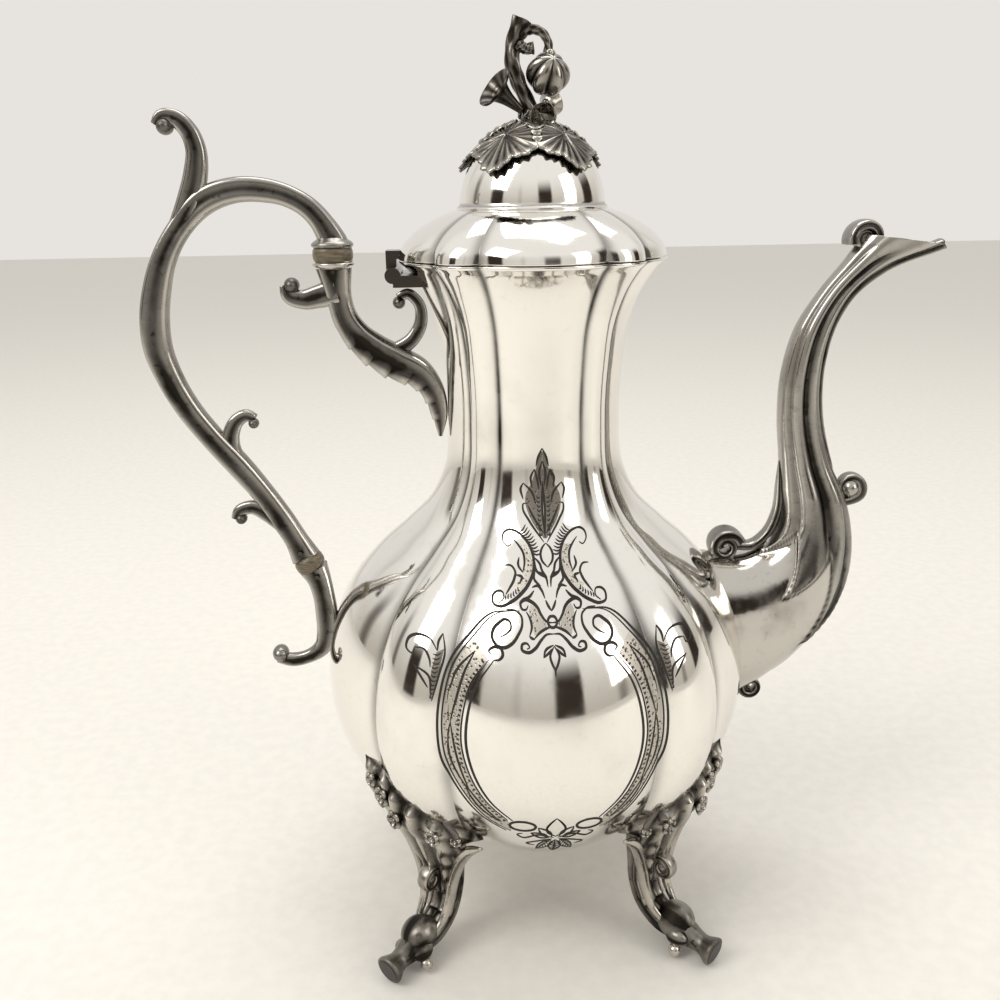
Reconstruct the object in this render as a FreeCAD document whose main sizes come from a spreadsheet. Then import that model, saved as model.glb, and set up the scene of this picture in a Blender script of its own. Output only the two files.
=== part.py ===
"""Silver coffee pot: lobed pear body, hinged lid with a fruit finial, fluted spout, insulated handle.

The pot stands on the plane z = 0 with its vertical axis on the origin.
+X is the spout, -X the handle, -Y the front.  Millimetres.
"""
import FreeCAD, Part
import math
import os
from FreeCAD import Placement, Rotation, Vector

doc = FreeCAD.newDocument("coffee_pot")

DIMENSIONS = {
    # lobes: half angles seen from the axis, and how far the creases sink
    "front_angle": 28.0, "side_angle": 37.0, "crease": 0.942, "rim_turn": -2.5,
    "wall": 1.2, "lid_wall": 1.0,
    # body stations from the bottom up: height and crest radius
    "z_base": 31.0, "r_base": 30.0, "z_sole": 39.5, "r_sole": 46.5,
    "z_hip": 51.0, "r_hip": 60.0, "z_low": 64.0, "r_low": 67.5,
    "z_belly": 84.0, "r_belly": 71.3, "z_high": 102.0, "r_high": 68.8,
    "z_shoulder": 116.0, "r_shoulder": 62.8, "z_slope": 127.0, "r_slope": 53.6,
    "z_fall": 136.0, "r_fall": 43.5, "z_throat": 145.0, "r_throat": 34.6,
    "z_collar": 156.0, "r_collar": 29.4, "z_neck": 173.0, "r_neck": 27.8,
    "z_stem": 190.0, "r_stem": 28.6, "z_flare": 204.0, "r_flare": 30.8,
    "z_lip": 214.0, "r_lip": 35.1, "z_rim": 222.0, "r_rim": 41.0,
    # lid stations from the seam up
    "z_edge": 222.4, "r_edge": 41.6, "z_curve": 225.6, "r_curve": 40.7,
    "z_brow": 229.3, "r_brow": 37.6, "z_bend": 233.0, "r_bend": 32.3,
    "z_crown": 235.7, "r_crown": 26.6, "z_top": 237.0, "r_top": 22.3,
    "dome_height": 24.0, "dome_hole": 20.0, "bead": 0.8, "leaf_thick": 1.3, "leaf_length": 19.0,
    "bezel_radius": 34.4, "bezel_wall": 1.0, "bezel_bottom": 218.6,
    "stud_radius": 1.5, "stud_bottom": 254.6, "finial_base": 262.2,
    "washer_radius": 3.6, "washer_top": 259.5, "washer_thick": 0.8, "nut_flats": 6.0, "nut_thick": 2.6,
    # hinge: axis parallel to Y just outside the rim
    "hinge_x": -43.1, "hinge_z": 218.3, "knuckle_radius": 2.4, "hinge_half": 12.0, "lid_knuckle_half": 4.0,
    "pin_radius": 1.0, "pin_play": 0.05, "knuckle_gap": 0.3,
    # handle, insulators and sockets
    "handle_aspect": 0.86, "scroll_aspect": 0.8, "stem_aspect": 0.95,
    "tenon_radius": 2.4, "tenon_length": 5.0, "rivet_radius": 0.7, "rivet_length": 7.0,
    "upper_x": -61.6, "upper_z": 224.25, "upper_radius": 6.1, "insulator_height": 4.5,
    "lower_x": -75.8, "lower_z": 123.8, "lower_radius": 4.9, "lower_tilt": 30.0,
    # spout, feet and strainer
    "spout_wall": 1.5, "strainer_hole": 3.2, "strainer_pitch": 9.0, "strainer_z": 100.0,
    "foot_turn": 47.0, "wing_thick": 3.0, "pad_radius": 4.4, "pad_thick": 1.6, "sole_radius": 3.2,
    "leg_aspect": 1.4,
}
sheet = doc.addObject("Spreadsheet::Sheet", "Dims")
for row, (alias, value) in enumerate(DIMENSIONS.items(), 1):
    sheet.set(f"A{row}", alias)
    sheet.set(f"B{row}", str(value))
    sheet.setAlias(f"B{row}", alias)
doc.recompute()

BODY_STATIONS = ("base sole hip low belly high shoulder slope fall throat collar neck "
                 "stem flare lip rim").split()
LID_STATIONS = "edge curve brow bend crown top".split()
FAR = 400.0
STEEPEST = math.radians(45)
NODES = {}


def dim(alias):
    """Current value of one driving dimension."""
    return float(sheet.get(alias))


def add(kind, name, expressions=None, **values):
    """One document object with plain values set and sizes bound to the sheet."""
    thing = doc.addObject(kind, name)
    for key, value in values.items():
        setattr(thing, key, value)
    for key, formula in (expressions or {}).items():
        thing.setExpression(key, formula)
    return thing


def node(name, thing):
    """Name a finished sub-part."""
    thing.Label = name
    NODES[name] = thing
    return thing


def cut(name, base, *tools):
    """The base with every tool taken away."""
    for number, tool in enumerate(tools):
        base = add("Part::Cut", f"{name}_cut{number}", Base=base, Tool=tool)
    return base


def join(name, *shapes):
    """Several shapes fused into one solid."""
    return add("Part::MultiFuse", name, Shapes=list(shapes))


def rod(name, radius, height, place, turn=None):
    """Cylinder whose radius and height are formulas; it starts at place and runs along its own Z."""
    return add("Part::Cylinder", name, {"Radius": radius, "Height": height},
               Placement=Placement(Vector(*place), turn or Rotation()))


def ball(name, radius, place):
    return add("Part::Sphere", name, {"Radius": radius}, Placement=Placement(Vector(*place), Rotation()))


def block(name, low, high):
    """Box between two corners."""
    size = [b - a for a, b in zip(low, high)]
    return add("Part::Box", name, Length=size[0], Width=size[1], Height=size[2],
               Placement=Placement(Vector(*low), Rotation()))


ALONG_Y = Rotation(Vector(1, 0, 0), -90)
ALONG_X = Rotation(Vector(0, 1, 0), 90)


# Lobed shells

def normals(names):
    """Outward unit normal of the profile at each station, as radial and vertical parts."""
    points = [(dim("r_" + name), dim("z_" + name)) for name in names]
    result = []
    for number in range(len(points)):
        before = points[max(number - 1, 0)]
        after = points[min(number + 1, len(points) - 1)]
        run, rise = after[0] - before[0], after[1] - before[1]
        length = math.hypot(run, rise)
        result.append((rise / length, -run / length))
    return result


def lobed_section(body, name, radius, height):
    """Closed outline of eight arcs: two side, two front and four corner lobes that meet in creases."""
    sketch = body.newObject("Sketcher::SketchObject", name)
    plane = [item for item in body.Origin.OriginFeatures if item.Role == "XY_Plane"][0]
    sketch.AttachmentSupport = (plane, [""])
    sketch.MapMode = "FlatFace"
    sketch.setExpression("AttachmentOffset.Base.z", height)
    turn = f"Dims.rim_turn * ({height} - Dims.z_belly) / (Dims.z_rim - Dims.z_belly)"
    front, side = f"(Dims.front_angle + {turn})", "Dims.side_angle"
    inner = f"({radius}) * Dims.crease"
    corner = f"(90 - {front} - {side}) / 2"
    reach = {kind: f"(({radius}) - {inner} * cos({angle}))"
             for kind, angle in (("side", side), ("front", front), ("corner", corner))}
    chord = {kind: f"({inner} * sin({angle}))"
             for kind, angle in (("side", side), ("front", front), ("corner", corner))}
    sizes = {"side_x": f"{inner} * cos({side})", "side_y": f"{inner} * sin({side})",
             "front_x": f"{inner} * sin({front})", "front_y": f"{inner} * cos({front})"}
    for kind in reach:
        sizes[kind + "_radius"] = f"({chord[kind]} ^ 2 + {reach[kind]} ^ 2) / (2 * {reach[kind]})"
    value = {key: float(sheet.evalExpression(formula.replace("Dims.", ""))) for key, formula in sizes.items()}
    crest = float(sheet.evalExpression(radius.replace("Dims.", "")))
    side_point = Vector(value["side_x"], value["side_y"], 0)
    front_point = Vector(value["front_x"], value["front_y"], 0)
    middle = (side_point + front_point).normalize() * crest
    tops = [Vector(crest, 0, 0), middle, Vector(0, crest, 0), Vector(-middle.x, middle.y, 0),
            Vector(-crest, 0, 0), -middle, Vector(0, -crest, 0), Vector(middle.x, -middle.y, 0)]
    quarter = [side_point, front_point]
    ends = quarter + [Vector(-p.x, p.y, 0) for p in quarter[::-1]]
    ends += [-p for p in ends]
    for number in range(8):
        sketch.addGeometry(Part.Arc(ends[number - 1], tops[number], ends[number]), False)
    from Sketcher import Constraint as Rule
    x_axis, y_axis, start, end = -1, -2, 1, 2
    rules = [Rule("Coincident", number, end, (number + 1) % 8, start) for number in range(8)]
    rules += [Rule("Symmetric", lobe, start, lobe, end, axis)
              for lobe, axis in ((0, x_axis), (4, x_axis), (2, y_axis), (6, y_axis))]
    rules += [Rule("Symmetric", 0, end, 4, start, y_axis), Rule("Symmetric", 2, start, 6, end, x_axis)]
    rules += [Rule("Equal", *pair) for pair in ((0, 4), (2, 6), (1, 3), (3, 5), (5, 7))]
    sketch.addConstraint(rules)
    sized = {"side_x": ("DistanceX", -1, 1, 0, end), "side_y": ("DistanceY", -1, 1, 0, end),
             "front_x": ("DistanceX", -1, 1, 2, start), "front_y": ("DistanceY", -1, 1, 2, start),
             "side_radius": ("Radius", 0), "front_radius": ("Radius", 2), "corner_radius": ("Radius", 1)}
    for key, rule in sized.items():
        number = sketch.addConstraint(Rule(*rule, value[key]))
        sketch.renameConstraint(number, key)
        sketch.setExpression("Constraints." + key, sizes[key])
    return sketch


def lobed_form(name, names, offset=None):
    """Solid through lobed sections; offset is a formula, outwards along the profile's normal."""
    body = doc.addObject("PartDesign::Body", name)
    sections = []
    for station, (out, up) in zip(names, normals(names)):
        radius, height = f"Dims.r_{station}", f"Dims.z_{station}"
        if offset:
            radius, height = f"{radius} + {offset} * {out:.4f}", f"({height} + {offset} * {up:.4f})"
        sections.append(lobed_section(body, f"{name}_{station}", radius, height))
    loft = body.newObject("PartDesign::AdditiveLoft", name + "_loft")
    loft.Profile = sections[0]
    loft.Sections = [(section, [""]) for section in sections[1:]]
    return body


# Castings: ellipses lofted along a path in a vertical plane through the axis

def section_pairs(path):
    """Inner and outer points across a centre line given as (reach, height, thickness)."""
    pairs = []
    for number, (x, z, thick) in enumerate(path):
        before, after = path[max(number - 1, 0)], path[min(number + 1, len(path) - 1)]
        run, rise = after[0] - before[0], after[1] - before[1]
        length = math.hypot(run, rise)
        across = Vector(-rise / length, run / length, 0) * (thick / 2)
        pairs.append(((x - across.x, z - across.y), (x + across.x, z + across.y)))
    return pairs


def spans(pairs):
    """Split a path into stretches that each turn less than the steepest bend one loft can follow."""
    headings = [math.atan2(z1 - z0, x1 - x0) for (x0, z0), (x1, z1) in pairs]
    starts = [0]
    for number in range(1, len(pairs)):
        turned = abs(math.remainder(headings[number] - headings[starts[-1]], 2 * math.pi))
        if turned > STEEPEST and number - 1 > starts[-1]:
            starts.append(number - 1)
    return [slice(start, end + 1) for start, end in zip(starts, starts[1:] + [len(pairs) - 1])]


def casting(name, pairs, widths, inset="0", turn=0.0, flat=False):
    """Loft through ellipses that span each pair of points; widths are formulas for the full width."""
    radial = Vector(math.cos(math.radians(turn)), math.sin(math.radians(turn)), 0)
    tangent = Vector(-radial.y, radial.x, 0)
    rings = []
    for number, ((x0, z0), (x1, z1)) in enumerate(pairs):
        low, high = radial * x0 + Vector(0, 0, z0), radial * x1 + Vector(0, 0, z1)
        along = (high - low).normalize()
        axes = (tangent, along) if flat else (along, tangent)
        halves = [f"{math.hypot(x1 - x0, z1 - z0) / 2:.3f} - {inset}", f"({widths[number]}) / 2 - {inset}"]
        major, minor = reversed(halves) if flat else halves
        place = Placement((low + high) / 2, Rotation(*axes, axes[0].cross(axes[1]), "XYZ"))
        rings.append(add("Part::Ellipse", f"{name}_ring{number}",
                         {"MajorRadius": major, "MinorRadius": minor}, Placement=place))
    lofts = [add("Part::Loft", f"{name}_loft{number}", Sections=rings[span], Solid=True, Ruled=False)
             for number, span in enumerate(spans(pairs))]
    return join(name, *lofts) if len(lofts) > 1 else lofts[0]


def scroll(name, path, aspect, taper=1.0, **options):
    """Casting along a centre line; its width is aspect times its thickness and falls by taper to the end."""
    last = len(path) - 1
    widths = [f"{thick} * Dims.{aspect} * {1 + (taper - 1) * number / last:.4f}"
              for number, (_, _, thick) in enumerate(path)]
    return casting(name, section_pairs(path), widths, **options)


# Body

body_form = lobed_form("body_form", BODY_STATIONS)
cavity = lobed_form("cavity", BODY_STATIONS, "-Dims.wall")
strainer = []
for number in range(7):
    turn = math.radians(60 * number)
    step = 0 if number == 6 else dim("strainer_pitch")
    strainer.append(rod(f"strainer{number}", "Dims.strainer_hole", f"{FAR}",
                        (dim("r_base"), step * math.cos(turn), dim("strainer_z") + step * math.sin(turn)), ALONG_X))
body_wall = cut("body_wall", body_form, cavity, join("strainer", *strainer))
for name, low, high in (("body_pan", "base", "hip"), ("body_belly", "hip", "high"), ("body_shoulder", "high", "throat"),
                        ("body_neck", "throat", "rim")):
    slab = block(name + "_slab", (-FAR, -FAR, dim("z_" + low)), (FAR, FAR, dim("z_" + high)))
    node(name, add("Part::Common", name, Base=body_wall, Tool=slab))

# Lid

lid_form = lobed_form("lid_form", LID_STATIONS)
lid_cavity = lobed_form("lid_cavity", LID_STATIONS, "-Dims.lid_wall")
lid_hole = rod("lid_hole", "Dims.dome_hole", "Dims.dome_height", (0, 0, dim("z_bend")))
node("lid_shell", cut("lid_shell", lid_form, lid_cavity, lid_hole))


def half_dome(name, grow):
    return add("Part::Ellipsoid", name, {"Radius1": f"Dims.dome_height + {grow}", "Radius2": f"Dims.r_top + {grow}",
                                         "Radius3": f"Dims.r_top + {grow}"},
               Angle1=0, Angle2=90, Placement=Placement(Vector(0, 0, dim("z_top")), Rotation()))


dome_bead = add("Part::Torus", "dome_bead", {"Radius1": "Dims.r_top", "Radius2": "Dims.bead"},
                Placement=Placement(Vector(0, 0, dim("z_top") + dim("bead")), Rotation()))
stud_hole = rod("stud_hole", "Dims.stud_radius", f"{FAR}", (0, 0, dim("z_top")))
dome_skin = join("dome_skin", half_dome("dome_out", "0"), dome_bead)
node("lid_dome", cut("lid_dome", dome_skin, half_dome("dome_in", "-Dims.lid_wall"), stud_hole))

bezel_tube = cut("bezel_tube",
                 rod("bezel_out", "Dims.bezel_radius", "Dims.z_top - Dims.bezel_bottom", (0, 0, dim("bezel_bottom"))),
                 rod("bezel_in", "Dims.bezel_radius - Dims.bezel_wall", f"{FAR}", (0, 0, 0)))
room = join("bezel_room", lid_cavity,
            rod("bezel_low", "Dims.r_brow", "Dims.z_edge + 0.5 - Dims.bezel_bottom", (0, 0, dim("bezel_bottom"))))
node("lid_bezel", add("Part::Common", "lid_bezel", Base=bezel_tube, Tool=room))

# Vine leaves draped over the dome


def rosette_plan(name):
    """Upright prism of five vine leaves around the axis, each with three points."""
    length, points = dim("leaf_length"), []
    for step in range(ROSETTE_POINTS):
        angle = 2 * math.pi * step / ROSETTE_POINTS
        reach = length * (0.70 + 0.20 * math.cos(LEAVES * angle) + 0.10 * math.cos(3 * LEAVES * angle))
        points.append(Vector(reach * math.cos(angle), reach * math.sin(angle), 0))
    outline = Part.BSplineCurve()
    outline.interpolate(points, PeriodicFlag=True)
    plan = add("Part::Feature", name, Shape=Part.Face(Part.Wire([outline.toShape()])).extrude(Vector(0, 0, FAR)))
    plan.Placement = Placement(Vector(0, 0, dim("z_top")), Rotation(Vector(0, 0, 1), LEAF_TURN))
    return plan


LEAVES, ROSETTE_POINTS, LEAF_TURN = 5, 120, 18
draped = cut("draped", half_dome("leaf_skin", "Dims.leaf_thick"), half_dome("leaf_under", "0"), stud_hole)
node("leaf_spray", add("Part::Common", "leaf_spray", Base=draped, Tool=rosette_plan("leaf_plan")))

# Finial: a curling stem with a ribbed fruit, a trumpet flower and a bell flower

STEM = [(0.0, 261.2, 7.0), (-0.2, 264.4, 5.2), (-2.2, 269.0, 4.2), (-4.4, 274.0, 4.4), (-5.6, 279.0, 4.6),
        (-4.6, 284.5, 4.6), (-1.6, 290.0, 4.2)]
STALK = [(-4.4, 284.6, 3.6), (-0.8, 287.0, 3.0), (2.8, 286.4, 2.6), (4.8, 283.8, 2.4), (5.0, 279.0, 3.0)]
FRUIT, FRUIT_RADIUS, FRUIT_FLUTES = Vector(4.8, -1.2, 275.0), 6.4, 9
stem = scroll("stem", STEM, "stem_aspect")
stalk = scroll("stalk", STALK, "stem_aspect")
fruit_ball = add("Part::Ellipsoid", "fruit_ball", Radius1=FRUIT_RADIUS - 0.2, Radius2=FRUIT_RADIUS,
                 Radius3=FRUIT_RADIUS, Placement=Placement(FRUIT, Rotation()))
flutes = []
for number in range(FRUIT_FLUTES):
    turn = Rotation(Vector(0, 0, 1), 360 * number / FRUIT_FLUTES + 12)
    foot = FRUIT + turn * Vector(FRUIT_RADIUS + 0.6, 0, -2 * FRUIT_RADIUS)
    flutes.append(rod(f"flute{number}", "1.3", f"{4 * FRUIT_RADIUS}", foot))
fruit = cut("fruit", fruit_ball, join("flutes", *flutes))
TRUMPET_TURN = Rotation(Vector(0, 1, 0), -52)
trumpet = cut("trumpet",
              add("Part::Cone", "trumpet_out", Radius1=1.6, Radius2=6.0, Height=11.0,
                  Placement=Placement(Vector(-3.6, -1.0, 265.0), TRUMPET_TURN)),
              add("Part::Cone", "trumpet_in", Radius1=0.1, Radius2=5.4, Height=8.5,
                  Placement=Placement(Vector(-3.6, -1.0, 265.0) + TRUMPET_TURN * Vector(0, 0, 2.6), TRUMPET_TURN)))
BELL_TURN = Rotation(Vector(1, 0, 0), 80)
bell = add("Part::Cone", "bell", Radius1=1.4, Radius2=3.4, Height=8.0,
           Placement=Placement(Vector(1.6, 0.4, 264.4), BELL_TURN))
finial_mass = join("finial_mass", stem, stalk, fruit, trumpet, bell)
node("finial", cut("finial", finial_mass, half_dome("finial_seat", "Dims.leaf_thick")))

node("finial_stud", rod("finial_stud", "Dims.stud_radius", "Dims.finial_base - Dims.stud_bottom",
                        (0, 0, dim("stud_bottom"))))
washer = rod("washer", "Dims.washer_radius", "Dims.washer_thick", (0, 0, dim("washer_top") - dim("washer_thick")))
node("finial_washer", cut("finial_washer", washer, stud_hole))
nut = add("Part::Prism", "nut", {"Circumradius": "Dims.nut_flats / 2 / cos(30)", "Height": "Dims.nut_thick"}, Polygon=6,
          Placement=Placement(Vector(0, 0, dim("washer_top") - dim("washer_thick") - dim("nut_thick")), Rotation()))
node("finial_nut", cut("finial_nut", nut, stud_hole))

# Hinge

HX, HZ, HALF = dim("hinge_x"), dim("hinge_z"), dim("hinge_half")
KNUCKLE, INNER = dim("knuckle_radius"), dim("lid_knuckle_half")
LEAF_FLOOR, STRAP_TOP, STRAP_FACE = 214.8, 225.2, -42.1
barrel = rod("hinge_barrel", "Dims.knuckle_radius", "2 * Dims.hinge_half", (HX, -HALF, HZ), ALONG_Y)
pin_hole = rod("pin_hole", "Dims.pin_radius", f"{FAR}", (HX, -FAR / 2, HZ), ALONG_Y)
loose_hole = rod("loose_hole", "Dims.pin_radius + Dims.pin_play", f"{FAR}", (HX, -FAR / 2, HZ), ALONG_Y)
saddle = block("hinge_saddle", (HX, -HALF, LEAF_FLOOR), (-dim("r_stem"), HALF, HZ))
gap = rod("knuckle_gap", "Dims.knuckle_radius + Dims.knuckle_gap", "2 * (Dims.lid_knuckle_half + Dims.knuckle_gap)",
          (HX, -INNER - dim("knuckle_gap"), HZ), ALONG_Y)
node("hinge_body_leaf", cut("hinge_body_leaf", join("body_leaf", barrel, saddle), gap, pin_hole, body_form))
strap = block("lid_strap", (HX - KNUCKLE + 0.2, -INNER, HZ), (STRAP_FACE, INNER, STRAP_TOP))
tongue = block("lid_tongue", (HX - KNUCKLE + 0.2, -INNER, dim("z_edge") + 0.3), (-dim("r_brow"), INNER, STRAP_TOP))
knuckle = rod("lid_knuckle", "Dims.knuckle_radius", "2 * Dims.lid_knuckle_half", (HX, -INNER, HZ), ALONG_Y)
node("hinge_lid_leaf", cut("hinge_lid_leaf", join("lid_leaf", strap, tongue, knuckle), loose_hole, lid_form))
node("hinge_pin", rod("hinge_pin", "Dims.pin_radius", "2 * Dims.hinge_half", (HX, -HALF, HZ), ALONG_Y))

# Handle, its insulators and sockets, in the plane y = 0

HANDLE = [(-61.6, 225.5, 12.0), (-61.6, 228.4, 9.2), (-63.6, 232.6, 7.4), (-68.0, 238.0, 6.6), (-74.0, 241.6, 6.6),
          (-81.0, 243.4, 7.2), (-89.5, 243.6, 7.6), (-98.2, 240.9, 8.0), (-107.0, 232.9, 7.0), (-112.4, 224.6, 7.4),
          (-115.8, 215.2, 8.4), (-117.7, 205.0, 8.9), (-117.5, 196.0, 8.8), (-115.2, 188.0, 8.2), (-110.4, 177.6, 7.8),
          (-103.5, 167.4, 7.6), (-96.0, 158.0, 8.0), (-89.2, 148.6, 7.4), (-83.4, 139.0, 7.6), (-79.4, 131.4, 7.8),
          (-76.3, 124.65, 9.6)]
THUMB = [(-101.2, 241.0, 7.4), (-99.9, 248.6, 6.2), (-99.9, 255.4, 5.6), (-101.6, 260.6, 5.2), (-105.4, 264.0, 4.8),
         (-108.6, 264.0, 4.4)]
INNER_SPRIG = [(-99.0, 162.0, 6.0), (-97.2, 168.6, 5.2), (-95.2, 172.6, 4.6), (-91.6, 174.0, 3.4), (-89.2, 172.6, 1.6)]
OUTER_SPRIG = [(-82.6, 136.0, 6.0), (-88.4, 141.6, 5.6), (-93.4, 143.8, 4.6), (-97.4, 142.6, 4.0), (-98.4, 140.2, 3.6)]
UPPER_S = [(-61.6, 223.0, 12.0), (-61.2, 217.2, 9.8), (-60.4, 210.6, 7.8), (-59.0, 205.0, 8.0), (-55.8, 199.8, 8.4),
           (-50.4, 195.2, 8.4), (-43.6, 191.0, 8.0), (-36.8, 187.2, 7.4), (-32.2, 181.6, 6.4), (-30.4, 174.0, 5.2),
           (-31.2, 166.0, 3.6)]
UPPER_CURL = [(-61.0, 213.2, 8.4), (-66.8, 211.6, 7.2), (-71.8, 210.8, 6.0), (-75.6, 212.0, 4.8), (-76.8, 215.2, 4.2)]
UPPER_C = [(-44.0, 194.0, 5.0), (-38.4, 197.6, 4.6), (-35.4, 203.0, 4.2), (-36.0, 209.0, 3.6), (-39.4, 212.0, 3.2),
           (-42.4, 210.4, 3.0)]
LOWER_S = [(-75.3, 122.95, 9.6), (-73.2, 118.0, 8.0), (-72.0, 112.0, 7.2), (-71.4, 105.0, 7.4), (-71.6, 98.0, 7.2),
           (-73.8, 92.4, 5.8), (-78.6, 89.2, 4.6), (-84.6, 88.4, 4.0), (-88.4, 89.6, 4.4)]


def insulator(name, where, tilt, radius):
    """Ivory disc with a tenon on each side, its axis tilted from the vertical in the handle's plane."""
    turn = Rotation(Vector(0, 1, 0), -tilt)
    centre, up = Vector(*where), turn * Vector(0, 0, 1)
    half, tenon = dim("insulator_height") / 2, dim("tenon_length")
    disc = rod(name + "_disc", radius, "Dims.insulator_height", centre - up * half, turn)
    peg = rod(name + "_peg", "Dims.tenon_radius", "Dims.insulator_height + 2 * Dims.tenon_length",
              centre - up * (half + tenon), turn)
    rivets = {}
    for end, side in (("handle", 1), ("socket", -1)):
        middle = centre + up * side * (half + tenon * 0.55)
        rivets[end] = rod(f"{name}_{end}_rivet", "Dims.rivet_radius", "Dims.rivet_length",
                          (middle.x, -dim("rivet_length") / 2, middle.z), ALONG_Y)
    return join(name + "_form", disc, peg), rivets


upper_form, upper_rivets = insulator(
    "upper", (dim("upper_x"), 0, dim("upper_z")), 0, "Dims.upper_radius")
lower_form, lower_rivets = insulator(
    "lower", (dim("lower_x"), 0, dim("lower_z")), dim("lower_tilt"), "Dims.lower_radius")
node("upper_insulator", cut("upper_insulator", upper_form, *upper_rivets.values()))
node("lower_insulator", cut("lower_insulator", lower_form, *lower_rivets.values()))
handle_form = join("handle_form", scroll("grip", HANDLE, "handle_aspect"),
                   scroll("thumb", THUMB, "scroll_aspect", 0.9), ball("thumb_end", "2.9", (-108.4, 0, 263.2)),
                   scroll("inner_sprig", INNER_SPRIG, "scroll_aspect", 0.4),
                   scroll("outer_sprig", OUTER_SPRIG, "scroll_aspect", 0.8),
                   ball("outer_end", "2.3", (-97.6, 0, 139.8)))
node("handle", cut("handle", handle_form, upper_form, lower_form, upper_rivets["handle"], lower_rivets["handle"]))
upper_arms = join("upper_arms", scroll("upper_s", UPPER_S, "handle_aspect", 0.7),
                  scroll("upper_curl", UPPER_CURL, "scroll_aspect", 0.9), ball("curl_end", "2.5", (-76.0, 0, 216.2)),
                  scroll("upper_c", UPPER_C, "scroll_aspect", 0.7), ball("c_end", "1.9", (-42.6, 0, 210.2)))
node("upper_socket", cut("upper_socket", upper_arms, body_form, upper_form, upper_rivets["socket"]))
lower_arm = join("lower_arm", scroll("lower_s", LOWER_S, "handle_aspect", 0.7),
                 ball("lower_end", "3", (-88.5, 0, 89.8)))
node("lower_socket", cut("lower_socket", lower_arm, body_form, lower_form, lower_rivets["socket"]))
for place, rivets in (("upper", upper_rivets), ("lower", lower_rivets)):
    for end, rivet in rivets.items():
        node(f"{place}_{end}_rivet", rivet)

# Spout: two cast halves that meet in the plane y = 0; each pair is the inner and the outer edge

SPOUT = [((58.0, 126.0), (64.0, 66.0)), ((69.0, 121.4), (80.5, 76.0)), ((75.5, 122.6), (94.0, 87.4)),
         ((81.0, 127.2), (104.6, 103.6)), ((84.0, 134.6), (108.3, 121.0)), ((84.0, 144.0), (105.8, 139.0)),
         ((82.9, 154.3), (99.2, 154.0)), ((81.0, 170.0), (94.8, 171.5)), ((81.4, 184.0), (94.5, 187.0)),
         ((85.2, 199.0), (97.6, 200.4)), ((92.0, 210.2), (102.8, 209.2)), ((99.2, 219.2), (111.4, 216.2)),
         ((104.6, 227.4), (131.0, 223.8))]
SPOUT_WIDTHS = [36.0, 34.0, 31.0, 27.0, 23.0, 19.6, 15.4, 13.0, 12.6, 11.6, 10.0, 11.0, 17.0]
VOLUTES = ((105.8, 227.0, 3.6, 9.0), (107.2, 144.0, 3.6, 9.0), (79.4, 73.4, 3.0, 8.0), (64.4, 124.6, 4.0, 10.0))
spout_form = casting("spout_form", SPOUT, SPOUT_WIDTHS)
channel_pairs = SPOUT[:-1] + [((104.9, 229.4), (132.0, 225.6))]
channel = casting("channel", channel_pairs, SPOUT_WIDTHS, "Dims.spout_wall")
volutes = [rod(f"volute{number}", f"{radius}", f"{width}", (x, -width / 2, z), ALONG_Y)
           for number, (x, z, radius, width) in enumerate(VOLUTES)]
spout_cast = cut("spout_cast", join("spout_mass", spout_form, *volutes), channel, body_form)
for name, y0, y1 in (("spout_front_half", -FAR, 0.0), ("spout_back_half", 0.0, FAR)):
    side = block(name + "_side", (0, y0, 0), (FAR, y1, FAR))
    node(name, add("Part::Common", name, Base=spout_cast, Tool=side))

# Feet: scroll legs under the corner lobes, each with a leaf wing on the body and a dark toe pad

LEG = [(51.0, 48.0, 15.0), (50.0, 38.0, 13.0), (49.0, 28.0, 11.0), (48.8, 20.0, 10.0), (51.5, 12.6, 9.6),
       (58.0, 7.6, 9.2), (66.0, 6.2, 8.8), (73.0, 8.0, 8.4), (77.0, 9.4, 8.4)]
WING = [(-24, 50), (-15, 55), (-5, 60), (5, 64.5), (15, 69), (24, 71.5), (25, 68), (16, 51), (5, 39.5), (-5, 38),
        (-15, 43)]
WING_START = 38.0
wing_skin = lobed_form("wing_skin", BODY_STATIONS[:6], "Dims.wing_thick")
turn = -dim("foot_turn")
outline = Part.BSplineCurve()
outline.interpolate([Vector(WING_START, t, z) for t, z in WING], PeriodicFlag=True)
shield = add("Part::Feature", "shield", Shape=Part.Face(Part.Wire([outline.toShape()])).extrude(Vector(FAR, 0, 0)))
shield.Placement = Placement(Vector(0, 0, 0), Rotation(Vector(0, 0, 1), turn))
wing = add("Part::Common", "wing", Base=wing_skin, Tool=shield)
leg = scroll("leg", LEG, "leg_aspect", turn=turn, flat=True)
ground = block("ground", (-FAR, -FAR, -FAR), (FAR, FAR, 0))
radial = Rotation(Vector(0, 0, 1), turn)
pad_lean = Rotation(Vector(0, 1, 0), 100)
pad_place = radial * Vector(LEG[-1][0], 0, dim("pad_radius") + 0.6)
pad = rod("pad", "Dims.pad_radius", "Dims.pad_thick", pad_place, radial * pad_lean)
sole = rod("sole", "Dims.sole_radius", "8", radial * Vector(73.4, 0, 0))
first_foot = cut("first_foot", join("foot_mass", leg, wing, sole), body_form, pad, ground)
MIRRORS = {"front_right": None, "front_left": Vector(1, 0, 0), "back_right": Vector(0, 1, 0)}
for label, source in (("foot", first_foot), ("toe_pad", pad)):
    for corner, normal in MIRRORS.items():
        copy = source if normal is None else add("Part::Mirroring", f"{label}_{corner}", Source=source, Normal=normal)
        node(f"{label}_{corner}", copy)
    node(f"{label}_back_left", add("Part::Mirroring", f"{label}_back_left", Source=NODES[f"{label}_front_left"],
                                   Normal=Vector(0, 1, 0)))

# Check and write

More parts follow.
